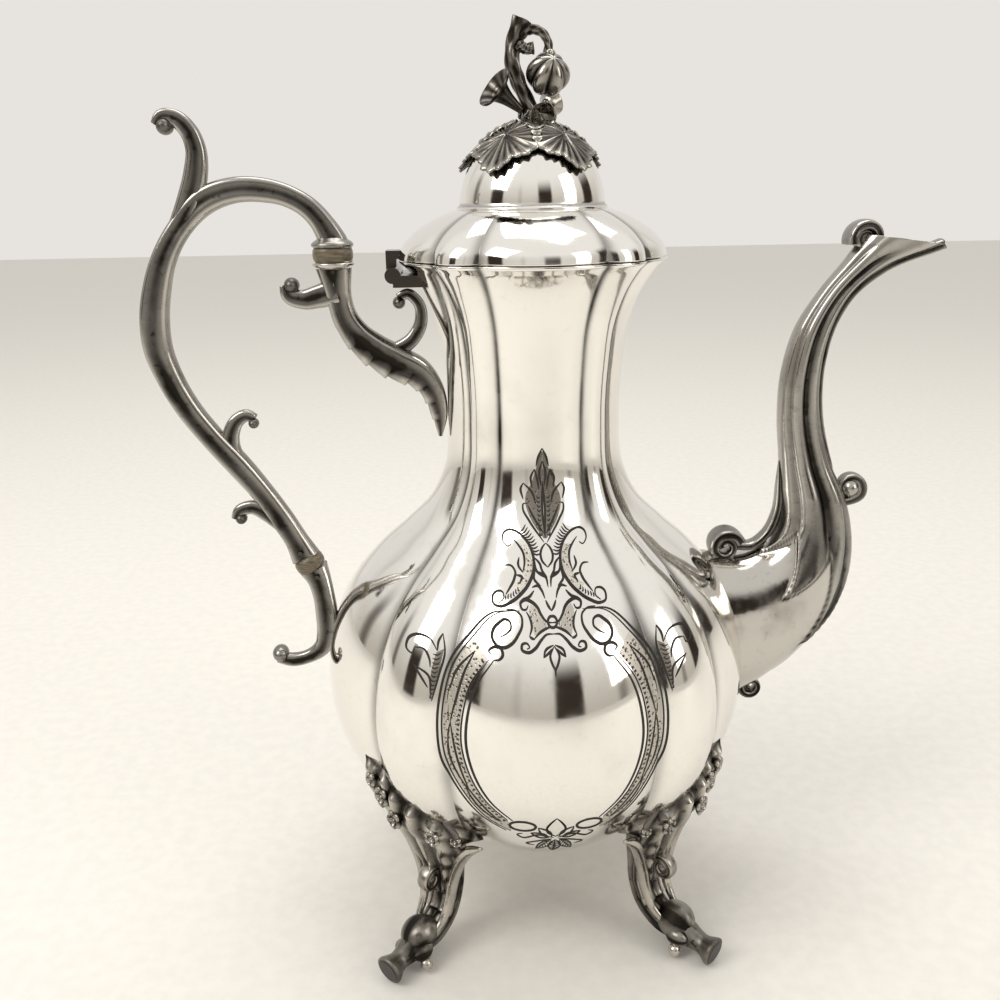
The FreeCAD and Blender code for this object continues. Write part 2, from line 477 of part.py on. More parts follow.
doc.recompute()
failed = [item.Name for item in doc.Objects if {"Invalid", "Error"} & set(item.State)]
if failed:
    raise RuntimeError(f"failed objects: {failed}")
os.makedirs("parts", exist_ok=True)
for name, thing in NODES.items():
    shape = thing.Shape
    if shape.isNull() or not shape.isValid() or len(shape.Solids) != 1:
        raise RuntimeError(f"{name}: {len(shape.Solids)} solids, valid {not shape.isNull() and shape.isValid()}")
    box = shape.BoundBox
    print(f"{name:20s} {shape.Volume:9.1f} mm3  x {box.XMin:7.2f} {box.XMax:7.2f}  y {box.YMin:7.2f} {box.YMax:7.2f}"
          f"  z {box.ZMin:7.2f} {box.ZMax:7.2f}")
    shape.exportStep(f"parts/{name}.step")
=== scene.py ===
"""Silver coffee pot: the look of the part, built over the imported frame. Lengths inside are millimetres."""
import math

import bmesh
import bpy
import numpy as np
from mathutils import Matrix, Vector


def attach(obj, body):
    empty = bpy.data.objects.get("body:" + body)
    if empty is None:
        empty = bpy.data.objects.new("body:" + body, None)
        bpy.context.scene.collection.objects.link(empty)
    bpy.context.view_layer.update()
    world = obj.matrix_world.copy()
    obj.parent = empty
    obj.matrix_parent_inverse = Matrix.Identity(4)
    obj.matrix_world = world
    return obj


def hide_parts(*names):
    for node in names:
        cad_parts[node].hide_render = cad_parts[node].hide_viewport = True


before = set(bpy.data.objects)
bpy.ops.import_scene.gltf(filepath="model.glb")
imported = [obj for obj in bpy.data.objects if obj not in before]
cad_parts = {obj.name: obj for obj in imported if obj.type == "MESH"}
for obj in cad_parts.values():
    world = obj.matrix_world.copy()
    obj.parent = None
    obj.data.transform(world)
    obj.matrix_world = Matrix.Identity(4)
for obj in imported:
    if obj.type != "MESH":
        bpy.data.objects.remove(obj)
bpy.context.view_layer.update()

bl_info = {
    "name": "Silver Coffee Pot",
    "version": (1, 0, 0),
    "blender": (4, 5, 0),
    "location": "View3D > Sidebar > Coffee Pot",
    "description": "Builds the visible pieces of a lobed silver coffee pot",
    "category": "Object",
}

MM = 0.001
TAU = 2 * math.pi

# Crest radius of the body at each height
BODY = ((31, 30), (39.5, 46.5), (51, 60), (64, 67.5), (84, 71.3), (102, 68.8), (116, 62.8), (127, 53.6),
        (136, 43.5), (145, 34.6), (156, 29.4), (173, 27.8), (190, 28.6), (204, 30.8), (214, 35.1),
        (222, 41))
# Rolled mouth: how far it stands out, its height and its width
MOUTH_ROLL, MOUTH_HEIGHT, MOUTH_WIDTH = 0.9, 221.6, 1.1
# Share of the radius that is left in the middle of the bottom, and the rise there inside and outside
MIDDLE, INSIDE_RISE, OUTSIDE_RISE = 0.02, 1.5, 1.2
# Crest radius of the lid at each height, and the dome on it
LID = ((222.4, 41.6), (225.6, 40.7), (229.3, 37.6), (233, 32.3), (235.7, 26.6), (237, 22.3))
DOME_FOOT, DOME_RADIUS, DOME_HEIGHT, DOME_WALL, BEAD = 237.0, 22.3, 24.0, 1.3, 0.9

# Castings as a line in an upright plane: distance, height, thickness
HANDLE = ((-61.6, 226.5, 12), (-61.6, 228.4, 9.2), (-63.6, 232.6, 7.4), (-68, 238, 6.6), (-74, 241.6, 6.6),
          (-81, 243.4, 7.2), (-89.5, 243.6, 7.6), (-98.2, 240.9, 8), (-107, 232.9, 7), (-112.4, 224.6, 7.4),
          (-115.8, 215.2, 8.4), (-117.7, 205, 8.9), (-117.5, 196, 8.8), (-115.2, 188, 8.2),
          (-110.4, 177.6, 7.8), (-103.5, 167.4, 7.6), (-96, 158, 8), (-89.2, 148.6, 7.4), (-83.4, 139, 7.6),
          (-79.4, 131.4, 7.8), (-76.98, 125.83, 9.6))
THUMB = ((-112.4, 224.6, 3.4), (-107.6, 233, 5.6), (-103.2, 241, 7.2), (-100.6, 248.6, 7), (-99.9, 255.4, 6),
         (-101.6, 260.6, 5.4), (-105.2, 264, 5), (-108.8, 264.2, 4.6), (-110.6, 262, 3.6))
INNER_SPRIG = ((-88, 147.4, 3.6), (-94, 156.6, 5), (-98, 164, 5.8), (-97.4, 169.6, 5.2),
               (-95.2, 173.2, 4.6), (-92.2, 174.6, 4), (-89.6, 173.4, 3.2))
OUTER_SPRIG = ((-79.6, 131.8, 4), (-83.6, 137.4, 5.6), (-88.4, 141.6, 5.6), (-93.4, 143.8, 4.6),
               (-97.4, 142.6, 4), (-98.9, 140, 3))
UPPER_S = ((-61.6, 222, 12), (-61.2, 217.2, 9.8), (-60.4, 210.6, 7.8), (-59, 205, 8), (-55.8, 199.6, 9),
           (-50.4, 194.6, 10.4), (-43.6, 190.4, 11), (-36.8, 186.8, 9.6), (-32.6, 181.4, 7.6),
           (-30.6, 174, 5.6), (-30.4, 166, 1.2))
UPPER_CURL = ((-61, 213.2, 8.4), (-66.8, 211.6, 7.2), (-71.8, 210.8, 6), (-75.8, 212.2, 5), (-76.6, 215.4, 4))
UPPER_C = ((-44, 194, 5), (-38.4, 197.6, 4.6), (-35.4, 203, 4.2), (-36, 209, 3.6), (-39.2, 211.8, 3.4),
           (-42.2, 210.6, 3))
LOWER_S = ((-74.62, 121.77, 9.6), (-73.2, 118, 8), (-72, 112, 7.2), (-71.4, 105, 7.4), (-71.6, 98, 7.2),
           (-73.8, 92.4, 5.8), (-78.6, 89.2, 4.6), (-84.6, 88.2, 4.6), (-89, 89.4, 4))
STEM = ((0, 259.5, 8), (-0.2, 264.4, 5.2), (-2.2, 269, 4.2), (-4.4, 274, 4.4), (-5.6, 279, 4.4),
        (-4.8, 284.5, 4.6), (-2.6, 289.6, 6))
STUB = ((-4.2, 283, 3.4), (-1.6, 281.6, 3), (0.6, 281.8, 3.4))
STALK = ((-4.4, 284.6, 3.6), (-0.8, 287, 3), (2.8, 286.4, 2.6), (4.8, 283.8, 2.4), (5, 280, 3))
LEG = ((52, 52, 12), (51, 45, 14.5), (50, 38, 13), (49, 28, 10.4), (48.8, 20, 9), (51.5, 12.6, 8.4),
       (58, 7.8, 8), (65, 6.4, 6), (71, 5.9, 3.4))
TENDRIL = ((52.5, 36, 3.4), (49.6, 28, 3), (49.4, 21, 2.6), (51.6, 15, 2.2))
LOWER_EDGE = ((108.2, 121, 1.6), (104.6, 103.6, 2.4), (94.2, 87.6, 2.7), (84, 78.6, 2.9))
UPPER_EDGE = ((69.4, 124.6, 3.2), (74.6, 124.6, 3), (79.6, 128.6, 2.8), (82.6, 136, 2.6), (83, 146, 2),
              (82.6, 154, 0.5))
# Ribs beside a leg: distance out, distance across, height, radius
INNER_RIB = ((57.5, -23.5, 50, 0.5), (56.5, -17.5, 45.8, 1.7), (54.4, -11, 37, 2), (53.2, -7.4, 29, 1.9),
             (53.4, -5.6, 21, 1.7), (56, -4.8, 14, 1.4), (60, -4, 10, 1))
OUTER_RIB = ((66.5, 16, 62, 0.5), (63, 12, 55, 1.5), (58.4, 9, 45, 2), (55.2, 7, 35, 2), (54, 5.8, 26, 1.7),
             (54.6, 5, 18, 1.5), (58.5, 4.4, 11.5, 1.1))
# Fluted shield on a leg: distance, height, thickness, width over thickness
SHIELD = ((62, 61, 2.6, 4.5), (60.4, 55.6, 5.2, 5), (58.4, 48, 6.2, 4.7), (55.6, 40, 6.2, 3.7),
          (53, 33, 6, 2.7), (51.6, 26, 5.4, 2), (51.6, 20, 3.6, 1.7))
# Wing of a leg: its reach to each side, then its lower and upper edge at places across it
WING_REACH = 21.5
WING_SPAN = (-1, -0.6, -0.2, 0.2, 0.6, 1)
WING_LOW = (49, 43, 38, 39, 49, 64)
WING_HIGH = (50, 54, 58.5, 62.5, 66.5, 69)

# Round tips of the scrolls: distance, height, radius
HANDLE_TIPS = ((-108.2, 261.8, 2.5), (-97, 140.1, 1.9), (-90.2, 172.0, 1.7))
BRACKET_TIPS = ((-74.8, 215.2, 2.4), (-42, 209.2, 2.0))

# Joints of the handle: middle of each insulator, lean of the lower one, half its thickness, and the collars
UPPER_JOINT, LOWER_JOINT, LOWER_LEAN = (-61.6, 0, 224.25), (-75.8, 0, 123.8), math.radians(30)
INSULATOR_HALF = 2.25
HANDLE_COLLAR_PLACE, BRACKET_COLLAR_PLACE = (-61.6, 0, 226.7), (-61.6, 0, 221.8)

# Turned forms: radius, distance along the axis
HANDLE_COLLAR = ((6.2, -0.2), (6.5, 0.5), (5.9, 1.3), (5.0, 1.9), (4, 2.6))
BRACKET_COLLAR = ((4, -2.4), (5.6, -1.7), (6.4, -0.9), (6.5, -0.2), (6.2, 0.1))
TRUMPET = ((1.0, 0), (1.5, 3), (2.3, 6.5), (3.8, 9.6), (6.2, 11.2), (6.0, 10.7), (3.2, 9), (1.8, 6), (0.3, 4))
BELL = ((0.8, 0), (1.9, 2), (2.6, 4.6), (3.9, 7), (3.7, 6.8), (2.2, 4.6), (0.2, 3))
TOE = ((4.4, -10), (3.6, -7), (3.3, -4.2), (4.2, -1.9), (4.75, -0.7), (4.75, 0.1), (4.3, 0.3))
TOE_DISC = ((4.3, -0.9), (4.35, 0.2), (3.9, 0.5), (2.4, 0.62), (1.2, 0.66), (0.1, 0.66))
TOE_TILT, TOE_OUT, TOE_RISE = math.radians(10), 77, 5.0

# A flower on a leg's wing, with radii over its size, and the flowers: distance across, height, size, petals
FLOWER = ((0, 1.4), (0.3, 1.9), (0.42, 1.0), (0.7, 1.9), (1, 1.4), (0.8, 0.2), (0.3, -0.6))
FLOWER_EYE = 0.2
FLOWERS = ((10.5, 58.6, 3.4, 5), (4, 53.6, 3.0, 5), (15.4, 63.2, 2.4, 5), (-8.5, 51, 2.6, 6),
           (-14, 49.6, 1.9, 6))

# Fruit and its tip, flowers with their axes and buds with their radii on the finial
FRUIT, FRUIT_TIP = (4.8, -1.2, 274.6), (5.4, -2.6, 280.4)
TRUMPET_PLACE, TRUMPET_AXIS = (-3.0, -1.4, 264.6), (-0.76, -0.32, 0.57)
BELLS = (((1.8, -1.2, 264.8), (0.12, -0.93, -0.3)), ((3.2, 3.2, 265), (0.5, 0.75, 0.35)))
BUDS = ((-1.2, -2.6, 263.6, 1.4), (3.9, -2.4, 266.6, 1.2), (-2.6, 2.4, 264, 1.5))
# Vine leaves: turn in degrees, size, droop
VINE_LEAVES = ((-128, 11.6, 0.9), (-52, 11.2, 0.6), (20, 10.6, 1.0), (92, 11.2, 0.7), (164, 10.8, 0.9))

# Spout flutes: place round the spout, width, depth
FLUTES = ((0.56, 0.085, 0.34), (0.80, 0.05, 0.14), (0.26, 0.05, 0.12))
# Spout volutes: middle, radius, start, turns and thickness of each curl, then its width
SPOUT_VOLUTES = (((105.4, 226.0, 5.0, 200, -1.5, 3.8), 2.6), ((65.4, 124.6, 5.2, 20, 1.5, 4.0), 3.0))
SPOUT_WALL = 1.5
# Row of the spout's sections where its inside ends
INSIDE_END = 147

# Spout sections: inner edge, outer edge, width
SPOUT = ((50, 124, 62, 66, 36), (69, 121.4, 80.5, 76, 34), (75.5, 122.6, 94, 87.4, 31),
         (81, 127.2, 104.6, 103.6, 27), (84, 134.6, 108.3, 121, 23), (84, 144, 105.8, 139, 19.6),
         (82.9, 154.3, 99.2, 154, 15.4), (81, 170, 94.8, 171.5, 13), (81.4, 184, 94.5, 187, 12.6),
         (85.2, 199, 97.6, 200.4, 11.6), (92, 210.2, 102.8, 209.2, 10), (99.2, 219.2, 111.4, 216.2, 11),
         (104.6, 227.4, 131, 223.8, 17))

# Engraved strokes of one half of the front cartouche: distance from its middle, height
STRAPS = (((10.4, 126.3), (16.6, 125.4), (24.3, 118.9), (30.1, 111.1), (33, 102), (34, 92.5), (33, 82.5),
           (28.3, 72.8), (22.2, 65), (14.6, 59.8)),
          ((17.2, 114.4), (22.3, 107.2), (25.4, 97), (25.9, 89.9), (24.5, 82.2), (19.5, 71.8), (12.8, 64.9)))
VOLUTES = (((15.2, 120), (13.3, 121), (11.9, 122.4), (12.1, 123.7), (13.4, 124.2), (15.3, 123.2),
            (17.1, 121.3), (17.4, 119.8), (16.2, 118.1), (14.3, 117.7), (11.9, 118.8), (10, 120.9),
            (8.7, 123.2), (8.8, 125.2), (10.4, 126.3), (13, 126.4)),
           ((17.7, 115.6), (18.5, 116.3), (17.2, 117.5), (15, 117.3), (14.6, 116), (15.8, 114.6),
            (17.2, 114.4)),
           ((14.9, 127.5), (13.4, 129), (13.6, 130), (15.2, 130.1), (16.6, 128.9), (16.5, 127.3),
            (14.6, 126.9), (11.8, 127.9), (8.8, 129.7), (5.9, 132.3), (4.2, 135.3), (4, 138.1),
            (4.9, 140.8), (6.2, 142.4), (8.4, 143.9), (10.7, 144.2), (12.4, 143), (12.7, 141.5),
            (11.3, 140.2), (10.3, 140.8)),
           ((0, 123.8), (1.5, 124), (3.1, 125.6), (4, 127.2), (5.6, 128.4), (7.5, 128.8), (8.8, 127.9),
            (8.4, 126.7), (7.2, 126.7), (6.6, 127.6)),
           ((0, 121.3), (1.9, 121.2), (3.5, 120), (5.4, 118), (7.4, 117), (9.2, 117.7), (9, 118.8),
            (7.6, 119.1), (7, 118.2), (7.8, 117.8)))
CUTS = (((12.8, 129.6), (11.6, 131), (10.1, 133), (9.6, 134.6), (10.6, 135.9), (12.5, 135.9)),
        ((9.7, 142.1), (8.2, 140.8), (6.9, 139), (6.7, 137), (7.4, 134.6)),
        ((7.4, 134.6), (8.6, 136.2), (8.2, 138)), ((8.6, 132.2), (7.8, 133.6), (9.4, 134)),
        ((0, 135.8), (1.6, 137.5), (1.8, 138.8), (1.2, 140.2), (0, 141.3)),
        ((0.4, 133.6), (1.8, 135.2), (2.2, 136.5), (3.8, 138.1)),
        ((1.2, 133.6), (3.4, 135.1), (3.8, 138.1)), ((0.4, 131.5), (0.8, 133.6), (3.8, 135.1)),
        ((3.8, 135.1), (4.3, 133.4), (2.5, 131.7)),
        ((5.1, 131.5), (3.3, 131.8), (2.4, 130.9), (1.6, 129.1)), ((1.5, 128.8), (0.9, 127.6), (0, 126.4)),
        ((4.6, 130.8), (6.2, 129.4), (8.2, 128.9)), ((0, 123), (1.7, 122.6), (3.7, 121.7), (5.5, 120.2)),
        ((5.3, 120.1), (6.1, 120.3), (6.9, 120.8)), ((6.8, 120.7), (6, 122.9), (6.4, 124.8), (7.3, 126.2)),
        ((0.2, 118.8), (2.5, 117.6), (3.2, 115.8)), ((3.2, 115.8), (1.6, 117), (0.5, 118)),
        ((0, 118.6), (1.3, 116.1), (0.8, 114.2), (0, 112.5), (0, 111)),
        ((0.5, 141.5), (4.5, 146.9), (6.2, 150.2), (6.1, 151.3), (4.5, 151.7)),
        ((0.4, 143.6), (3.2, 148), (4.8, 151.2)), ((2.3, 151.6), (3.2, 154.6), (5.8, 157.4)),
        ((5.8, 157.4), (6.6, 155.8), (6, 152.7)), ((1.2, 155.6), (1.6, 158.6), (2.4, 161.6)),
        ((2.4, 161.6), (3.5, 159.2), (3.2, 156)), ((0, 168), (1.2, 165.3), (1.9, 162.4)),
        ((0, 164), (0.9, 161), (0.5, 156.6)), ((0, 158), (0.4, 150), (0, 142.4)),
        ((0.6, 57.4), (5.4, 58.8), (9.8, 57), (11.4, 58.4), (9.8, 59.4)),
        ((1, 56.6), (5, 55.4), (8.4, 53.4), (6, 52.4)),
        ((35.4, 100.6), (33, 108), (31, 114.4), (31.4, 118.9)),
        ((31.4, 118.9), (32.8, 116.8), (33.2, 114.4)),
        ((33.2, 114.4), (35.3, 117.3), (38.6, 117.9), (41.9, 116), (42.4, 113.7), (40.9, 112.9),
         (39.9, 114.6)), ((39.9, 114.6), (37.2, 114.6), (35.6, 112), (35.5, 110)),
        ((35.7, 102.4), (36, 107.6), (40.4, 110.2)), ((40.4, 110.2), (38.4, 107.4), (36.4, 104.4)))
# Pairs of lines with cross cuts between them, and pairs with punched ground between them
HATCHED = ((((1.7, 138.9), (3.2, 142.6), (5.6, 145.9)), ((4.4, 139.4), (5.6, 142), (7.6, 143.8)), 10),
           (((0.7, 143.4), (0.8, 148), (0.9, 153.4)), ((1.7, 143.9), (1.9, 148.4), (2, 153.8)), 9),
           (((8.6, 130.7), (10.6, 129.3), (13, 128.6)), ((9.2, 131.5), (11, 130.2), (12.8, 129.5)), 6),
           (((35.3, 101.6), (33.3, 108.6), (32, 114)), ((35.8, 102.4), (35.3, 108.4), (34.6, 113.6)), 11))
PUNCHED = ((((0, 142.4), (0, 148), (0, 155), (0, 161), (0, 167)), ((0.5, 142.4), (4.2, 147.4), (5.6, 152.6),
             (3, 158.6), (0.4, 167))),
           (((5.2, 140.9), (4.4, 138), (4.6, 135.4), (6.2, 132.6), (9, 130)), ((8, 140.6), (6.7, 138.4),
             (7.1, 135.4), (8.2, 133.2), (10.4, 131.6))),
           (((1.6, 123.6), (3.4, 125.4), (4.4, 127), (5.8, 127.9)), ((2, 122.8), (5.4, 121), (5.8, 123.4),
             (6.6, 126.4))),
           (((35.3, 100.8), (33, 108.4), (31.2, 115)), ((35.7, 101.4), (35.4, 108.4), (33.6, 114))))
FRONDS = ((0, 56, -90, 9, 1.8), (1.4, 56, -60, 8, 1.6))
PETALS = ((0, 58, 90, 8.8, 2.8), (1.2, 57.6, 50, 6.4, 1.3), (2, 57.4, 24, 6, 1.1))

# Loop beside the lower flower: distance, height, half width, half height. Eye in the middle: height, radius
LOOP = (9.9, 62.8, 3.8, 2.1)
EYE = (124, 1.3)
# How far cut lines and punched ground stand off the body
LINE_LIFT, GROUND_LIFT = 0.07, 0.04

# Darkening between the ribs of a fruit, painted shade on tarnished grooves, and steps along a turned form
RIB_SHADING_AND_TARNISH, TURNED_STEPS = 0.9, 40

# Soft lamps, in metres: place, size, power, colour
LAMP_AIM = (0, 0, 0.12)
LAMPS = (("window", (-0.9, -0.5, 1.1), (0.7, 0.9), 9, (1.0, 0.97, 0.92)),
         ("fill", (1.1, -0.7, 0.7), (0.5, 0.9), 3.5, (1.0, 0.95, 0.88)),
         ("top", (0.1, 0.3, 1.3), (0.9, 0.6), 5, (1.0, 0.98, 0.95)))

# Room round the pot: its light low down and high up, its dark upright bands, and the pale backdrop
ROOM_LOW, ROOM_HIGH = (0.50, 0.46, 0.40, 1), (0.92, 0.90, 0.86, 1)
ROOM_BAND, BACKDROP = (0.035, 0.026, 0.02, 1), (0.80, 0.775, 0.74, 1)
# Half the side of the floor, in metres
FLOOR_REACH = 4

# Camera, in metres, as fitted to the view; sensor and lens in millimetres
CAMERA_SENSOR, CAMERA_LENS = 36.0, 36.0
CAMERA_PLACE, CAMERA_AHEAD = (-0.0287, -0.3185, 0.2424), (0.0518, 0.9537, -0.2963)
CAMERA_ROLL = math.radians(-0.96)


def tint(name, description, colour):
    """A colour that a user may change."""
    return bpy.props.FloatVectorProperty(name=name, description=description, size=4, subtype="COLOR",
                                         default=colour + (1,))


class PotSizes(bpy.types.PropertyGroup):
    """Sizes of the visible pieces."""

    wall: bpy.props.FloatProperty(
        name="Wall", description="Thickness of the raised silver", default=1.2 * MM, unit="LENGTH",
        subtype="DISTANCE")
    crease: bpy.props.FloatProperty(
        name="Crease", description="Body radius at a crease over that at a crest", default=0.94,
        subtype="FACTOR")
    lid_crease: bpy.props.FloatProperty(
        name="Lid crease", description="Lid radius at a crease over that at a crest", default=0.925,
        subtype="FACTOR")
    side_lobe: bpy.props.FloatProperty(
        name="Side lobe", description="Half angle of the lobes by spout and handle", default=math.radians(37),
        subtype="ANGLE")
    front_lobe: bpy.props.FloatProperty(
        name="Front lobe", description="Half angle of the front and back lobes", default=math.radians(28),
        subtype="ANGLE")
    leg_turn: bpy.props.FloatProperty(
        name="Leg turn", description="Angle from the spout's plane to a leg", default=math.radians(47),
        subtype="ANGLE")
    line: bpy.props.FloatProperty(
        name="Engraved line", description="Width of an engraved line", default=0.7 * MM, unit="LENGTH",
        subtype="DISTANCE")


class PotColours(bpy.types.PropertyGroup):
    """Colours of the materials."""

    silver: tint("Silver", "Polished silver", (0.885, 0.865, 0.825))
    cast: tint("Cast", "High parts of handle and spout", (0.57, 0.548, 0.51))
    # Painted darker than the silver, as the dark reflection the legs show
    leg: tint("Leg", "High parts of the legs", (0.6, 0.565, 0.51))
    # Oxidised silver, painted darker still as shade
    finial: tint("Finial", "High parts of finial and leaves", (0.46, 0.435, 0.395))
    # Near black: painted shade and dark reflection on the silver of the hinge
    hinge: tint("Hinge", "Dark hinge and rivets", (0.07, 0.063, 0.055))
    # Dark end of the metals: tarnished hollows, and the painted shade laid in creases and hollows
    tarnish_and_shade: tint("Tarnish", "Dark tarnish in the hollows", (0.022, 0.019, 0.015))
    # Dark end for finial and leaves: oxide, with painted shade in their hollows
    oxide_and_shade: tint("Oxide and shade", "Hollows of finial and leaves", (0.02, 0.016, 0.012))
    # Engraved lines: oxide in the cuts, painted dark and without metal sheen as the shade of the cut's depth
    cut: tint("Cut", "Engraved lines", (0.022, 0.018, 0.014))
    deep_cut: tint("Deep cut", "Depth of the engraved lines", (0.01, 0.008, 0.006))
    ground: tint("Ground", "Matted ground of the engraving", (0.56, 0.53, 0.48))
    punch: tint("Punch", "Punch marks in the ground", (0.09, 0.075, 0.06))
    brass: tint("Brass", "Fixings inside the lid", (0.72, 0.58, 0.30))
    ivory: tint("Ivory", "Tan insulators", (0.17, 0.135, 0.08))
    pad: tint("Pad", "Dark face of the feet", (0.022, 0.016, 0.014))
    floor: tint("Floor", "Pale floor", (0.74, 0.72, 0.68))


class Wire:
    """A shader socket that takes part in Python arithmetic."""

    def __init__(self, tree, socket=None):
        self.tree, self.socket = tree, socket

    def node(self, kind, settings=None, values=None, output=0):
        """Adds any node: its settings first, then its socket values or links."""
        made = self.tree.nodes.new("ShaderNode" + kind)
        for key, value in (settings or {}).items():
            setattr(made, key, value)
        for key, value in (values or {}).items():
            self.feed(made.inputs[key], value)
        return Wire(self.tree, made.outputs[output])

    def feed(self, socket, value):
        if isinstance(value, Wire):
            self.tree.links.new(value.socket, socket)
        else:
            socket.default_value = value

    def maths(self, operation, first, second, clamp=False):
        return self.node("Math", {"operation": operation, "use_clamp": clamp}, {0: first, 1: second})

    def __add__(self, other):
        return self.maths("ADD", self, other)

    def __sub__(self, other):
        return self.maths("SUBTRACT", self, other)

    def __rsub__(self, other):
        return self.maths("SUBTRACT", other, self)

    def __mul__(self, other):
        return self.maths("MULTIPLY", self, other)

    def __pow__(self, other):
        return self.maths("POWER", self, other)

    __radd__, __rmul__ = __add__, __mul__

    def clamp(self):
        return self.maths("ADD", self, 0.0, True)

    def ramp(self, low, high):
        return self.node("MapRange", {"interpolation_type": "SMOOTHSTEP"},
                         {"Value": self, "From Min": low, "From Max": high})

    def mix(self, first, second):
        return self.node("Mix", {"data_type": "RGBA"}, {0: self, 6: first, 7: second}, 2)

    def noise(self, scale, detail):
        """Noise at the place that this wire carries."""
        return self.node("TexNoise", values={"Vector": self, "Scale": scale, "Detail": detail})

    def bump(self, strength, distance):
        """A normal that is raised where this wire is high."""
        return self.node("Bump", values={"Strength": strength, "Distance": distance, "Height": self})

    def patina_and_painted_light(self):
        """The darkening that a piece carries at its points: tarnished hollows, painted shade and painted
        highlights.
        """
        return self.node("Attribute", {"attribute_name": "patina_and_painted_light"}, output="Fac")


def material(name):
    """A new material, its first wire, its surface shader and the wire that carries the place on a piece."""
    made = bpy.data.materials.new(name)
    made.use_nodes = True
    wire = Wire(made.node_tree)
    return made, wire, made.node_tree.nodes["Principled BSDF"], wire.node("TexCoord", output="Object")


def metal(name, light, dark, rough, stain, grain=0.0, metallic=1.0):
    """Silver darkened by the value at its points, which holds tarnished hollows, painted shade and painted
    highlights, with smudges and, for castings, a fine grain.
    """
    made, wire, shader, place = material(name)
    cloud, fine, patina_and_painted_light = place.noise(55.0, 4.0), place.noise(420.0, 5.0), wire.patina_and_painted_light()
    stains = cloud.ramp(0.52, 0.8) * stain + fine.ramp(0.56, 0.8) * stain * 0.6
    # Darkness mixed in: the value at each point, painted shade and highlights as well as tarnished hollows,
    # and the smudges
    tarnish_stains_and_shading = (patina_and_painted_light * (0.62 + cloud * 0.7) + stains).clamp()
    wire.feed(shader.inputs["Base Color"], tarnish_stains_and_shading.mix(tuple(light), tuple(dark)))
    wire.feed(shader.inputs["Roughness"], rough + cloud.ramp(0.35, 0.75) * 0.07 + fine.ramp(0.4, 0.8) * 0.05
              + tarnish_stains_and_shading * 0.28)
    shader.inputs["Metallic"].default_value = metallic
    if grain:
        wire.feed(shader.inputs["Normal"], fine.bump(grain, 0.0006))
    return made


def stippled(name, light, dark):
    """Matted silver ground: fine dark punch marks."""
    made, wire, shader, place = material(name)
    dots = wire.node("TexVoronoi", values={"Vector": place, "Scale": 900.0}).ramp(0.12, 0.42)
    bare = 1 - wire.patina_and_painted_light() * 0.85
    wire.feed(shader.inputs["Base Color"], (dots * bare).mix(tuple(dark), tuple(light)))
    wire.feed(shader.inputs["Normal"], dots.bump(0.5, 0.0004))
    shader.inputs["Metallic"].default_value = 1.0
    shader.inputs["Roughness"].default_value = 0.42
    return made


def bone(name, colour):
    """Tan insulator with a fine grain along its turning."""
    made, wire, shader, place = material(name)
    grain = wire.node("Mapping", values={"Vector": place, "Scale": (1.0, 1.0, 9.0)}).noise(260.0, 5.0)
    dark = tuple(value * 0.45 for value in colour[:3]) + (1,)
    wire.feed(shader.inputs["Base Color"], grain.ramp(0.3, 0.72).mix(dark, tuple(colour)))
    wire.feed(shader.inputs["Roughness"], 0.3 + grain * 0.25)
    shader.inputs["Coat Weight"].default_value = 0.25
    return made


def dull(name, colour, rough):
    """Dark or pale plain stuff with a slight mottle."""
    made, wire, shader, place = material(name)
    cloud = place.noise(180.0, 4.0)
    soft = tuple(value * 0.95 for value in colour[:3]) + (1,)
    wire.feed(shader.inputs["Base Color"], cloud.ramp(0.3, 0.7).mix(soft, tuple(colour)))
    wire.feed(shader.inputs["Roughness"], rough + cloud * 0.12)
    return made


def finish_of(name):
    """The named material, made when it is first asked for."""
    if name in bpy.data.materials:
        return bpy.data.materials[name]
    hue = bpy.context.scene.pot_colours
    makers = {
        "mirror_silver": lambda: metal(name, hue.silver, hue.tarnish_and_shade, 0.05, 0.10),
        "chased_silver": lambda: metal(name, hue.cast, hue.tarnish_and_shade, 0.08, 0.3, 0.07),
        "dark_silver": lambda: metal(name, hue.leg, hue.tarnish_and_shade, 0.14, 0.5, 0.2),
        "hinge_silver": lambda: metal(name, hue.hinge, hue.tarnish_and_shade, 0.14, 0.5, 0.1),
        "finial_silver": lambda: metal(name, hue.finial, hue.oxide_and_shade, 0.08, 0.4, 0.1),
        "brass_fixing": lambda: metal(name, hue.brass, hue.tarnish_and_shade, 0.22, 0.3, 0.1),
        "engraved_line": lambda: metal(name, hue.cut, hue.deep_cut, 0.6, 0.5, 0.2, 0.0),
        "punched_ground": lambda: stippled(name, hue.ground, hue.punch),
        "tan_bone": lambda: bone(name, hue.ivory),
        "black_pad": lambda: dull(name, hue.pad, 0.35),
        "pale_floor": lambda: dull(name, hue.floor, 0.6),
    }
    return makers[name]()


def smooth(points, count):
    """Evenly spread points of the smooth line through a few points, which may carry thickness and width."""
    points = np.array(points, float)
    along = np.concatenate([[0], np.cumsum(np.linalg.norm(np.diff(points, axis=0), axis=1))])
    slope = np.gradient(points, along, axis=0)
    want = np.linspace(0, along[-1], count)
    i = np.clip(np.searchsorted(along, want, side="right") - 1, 0, len(along) - 2)
    span = (along[i + 1] - along[i])[:, None]
    s = (want - along[i])[:, None] / span
    return ((1 + 2 * s) * (1 - s) ** 2 * points[i] + s * (1 - s) ** 2 * span * slope[i]
            + s * s * (3 - 2 * s) * points[i + 1] + s * s * (s - 1) * span * slope[i + 1])


def bump_at(value, centre, width):
    """A soft bump of height one."""
    return np.exp(-((value - centre) / width) ** 2)


def around(sides):
    """Angles of one even turn, as a row."""
    return np.linspace(0, TAU, sides, endpoint=False)[None, :]


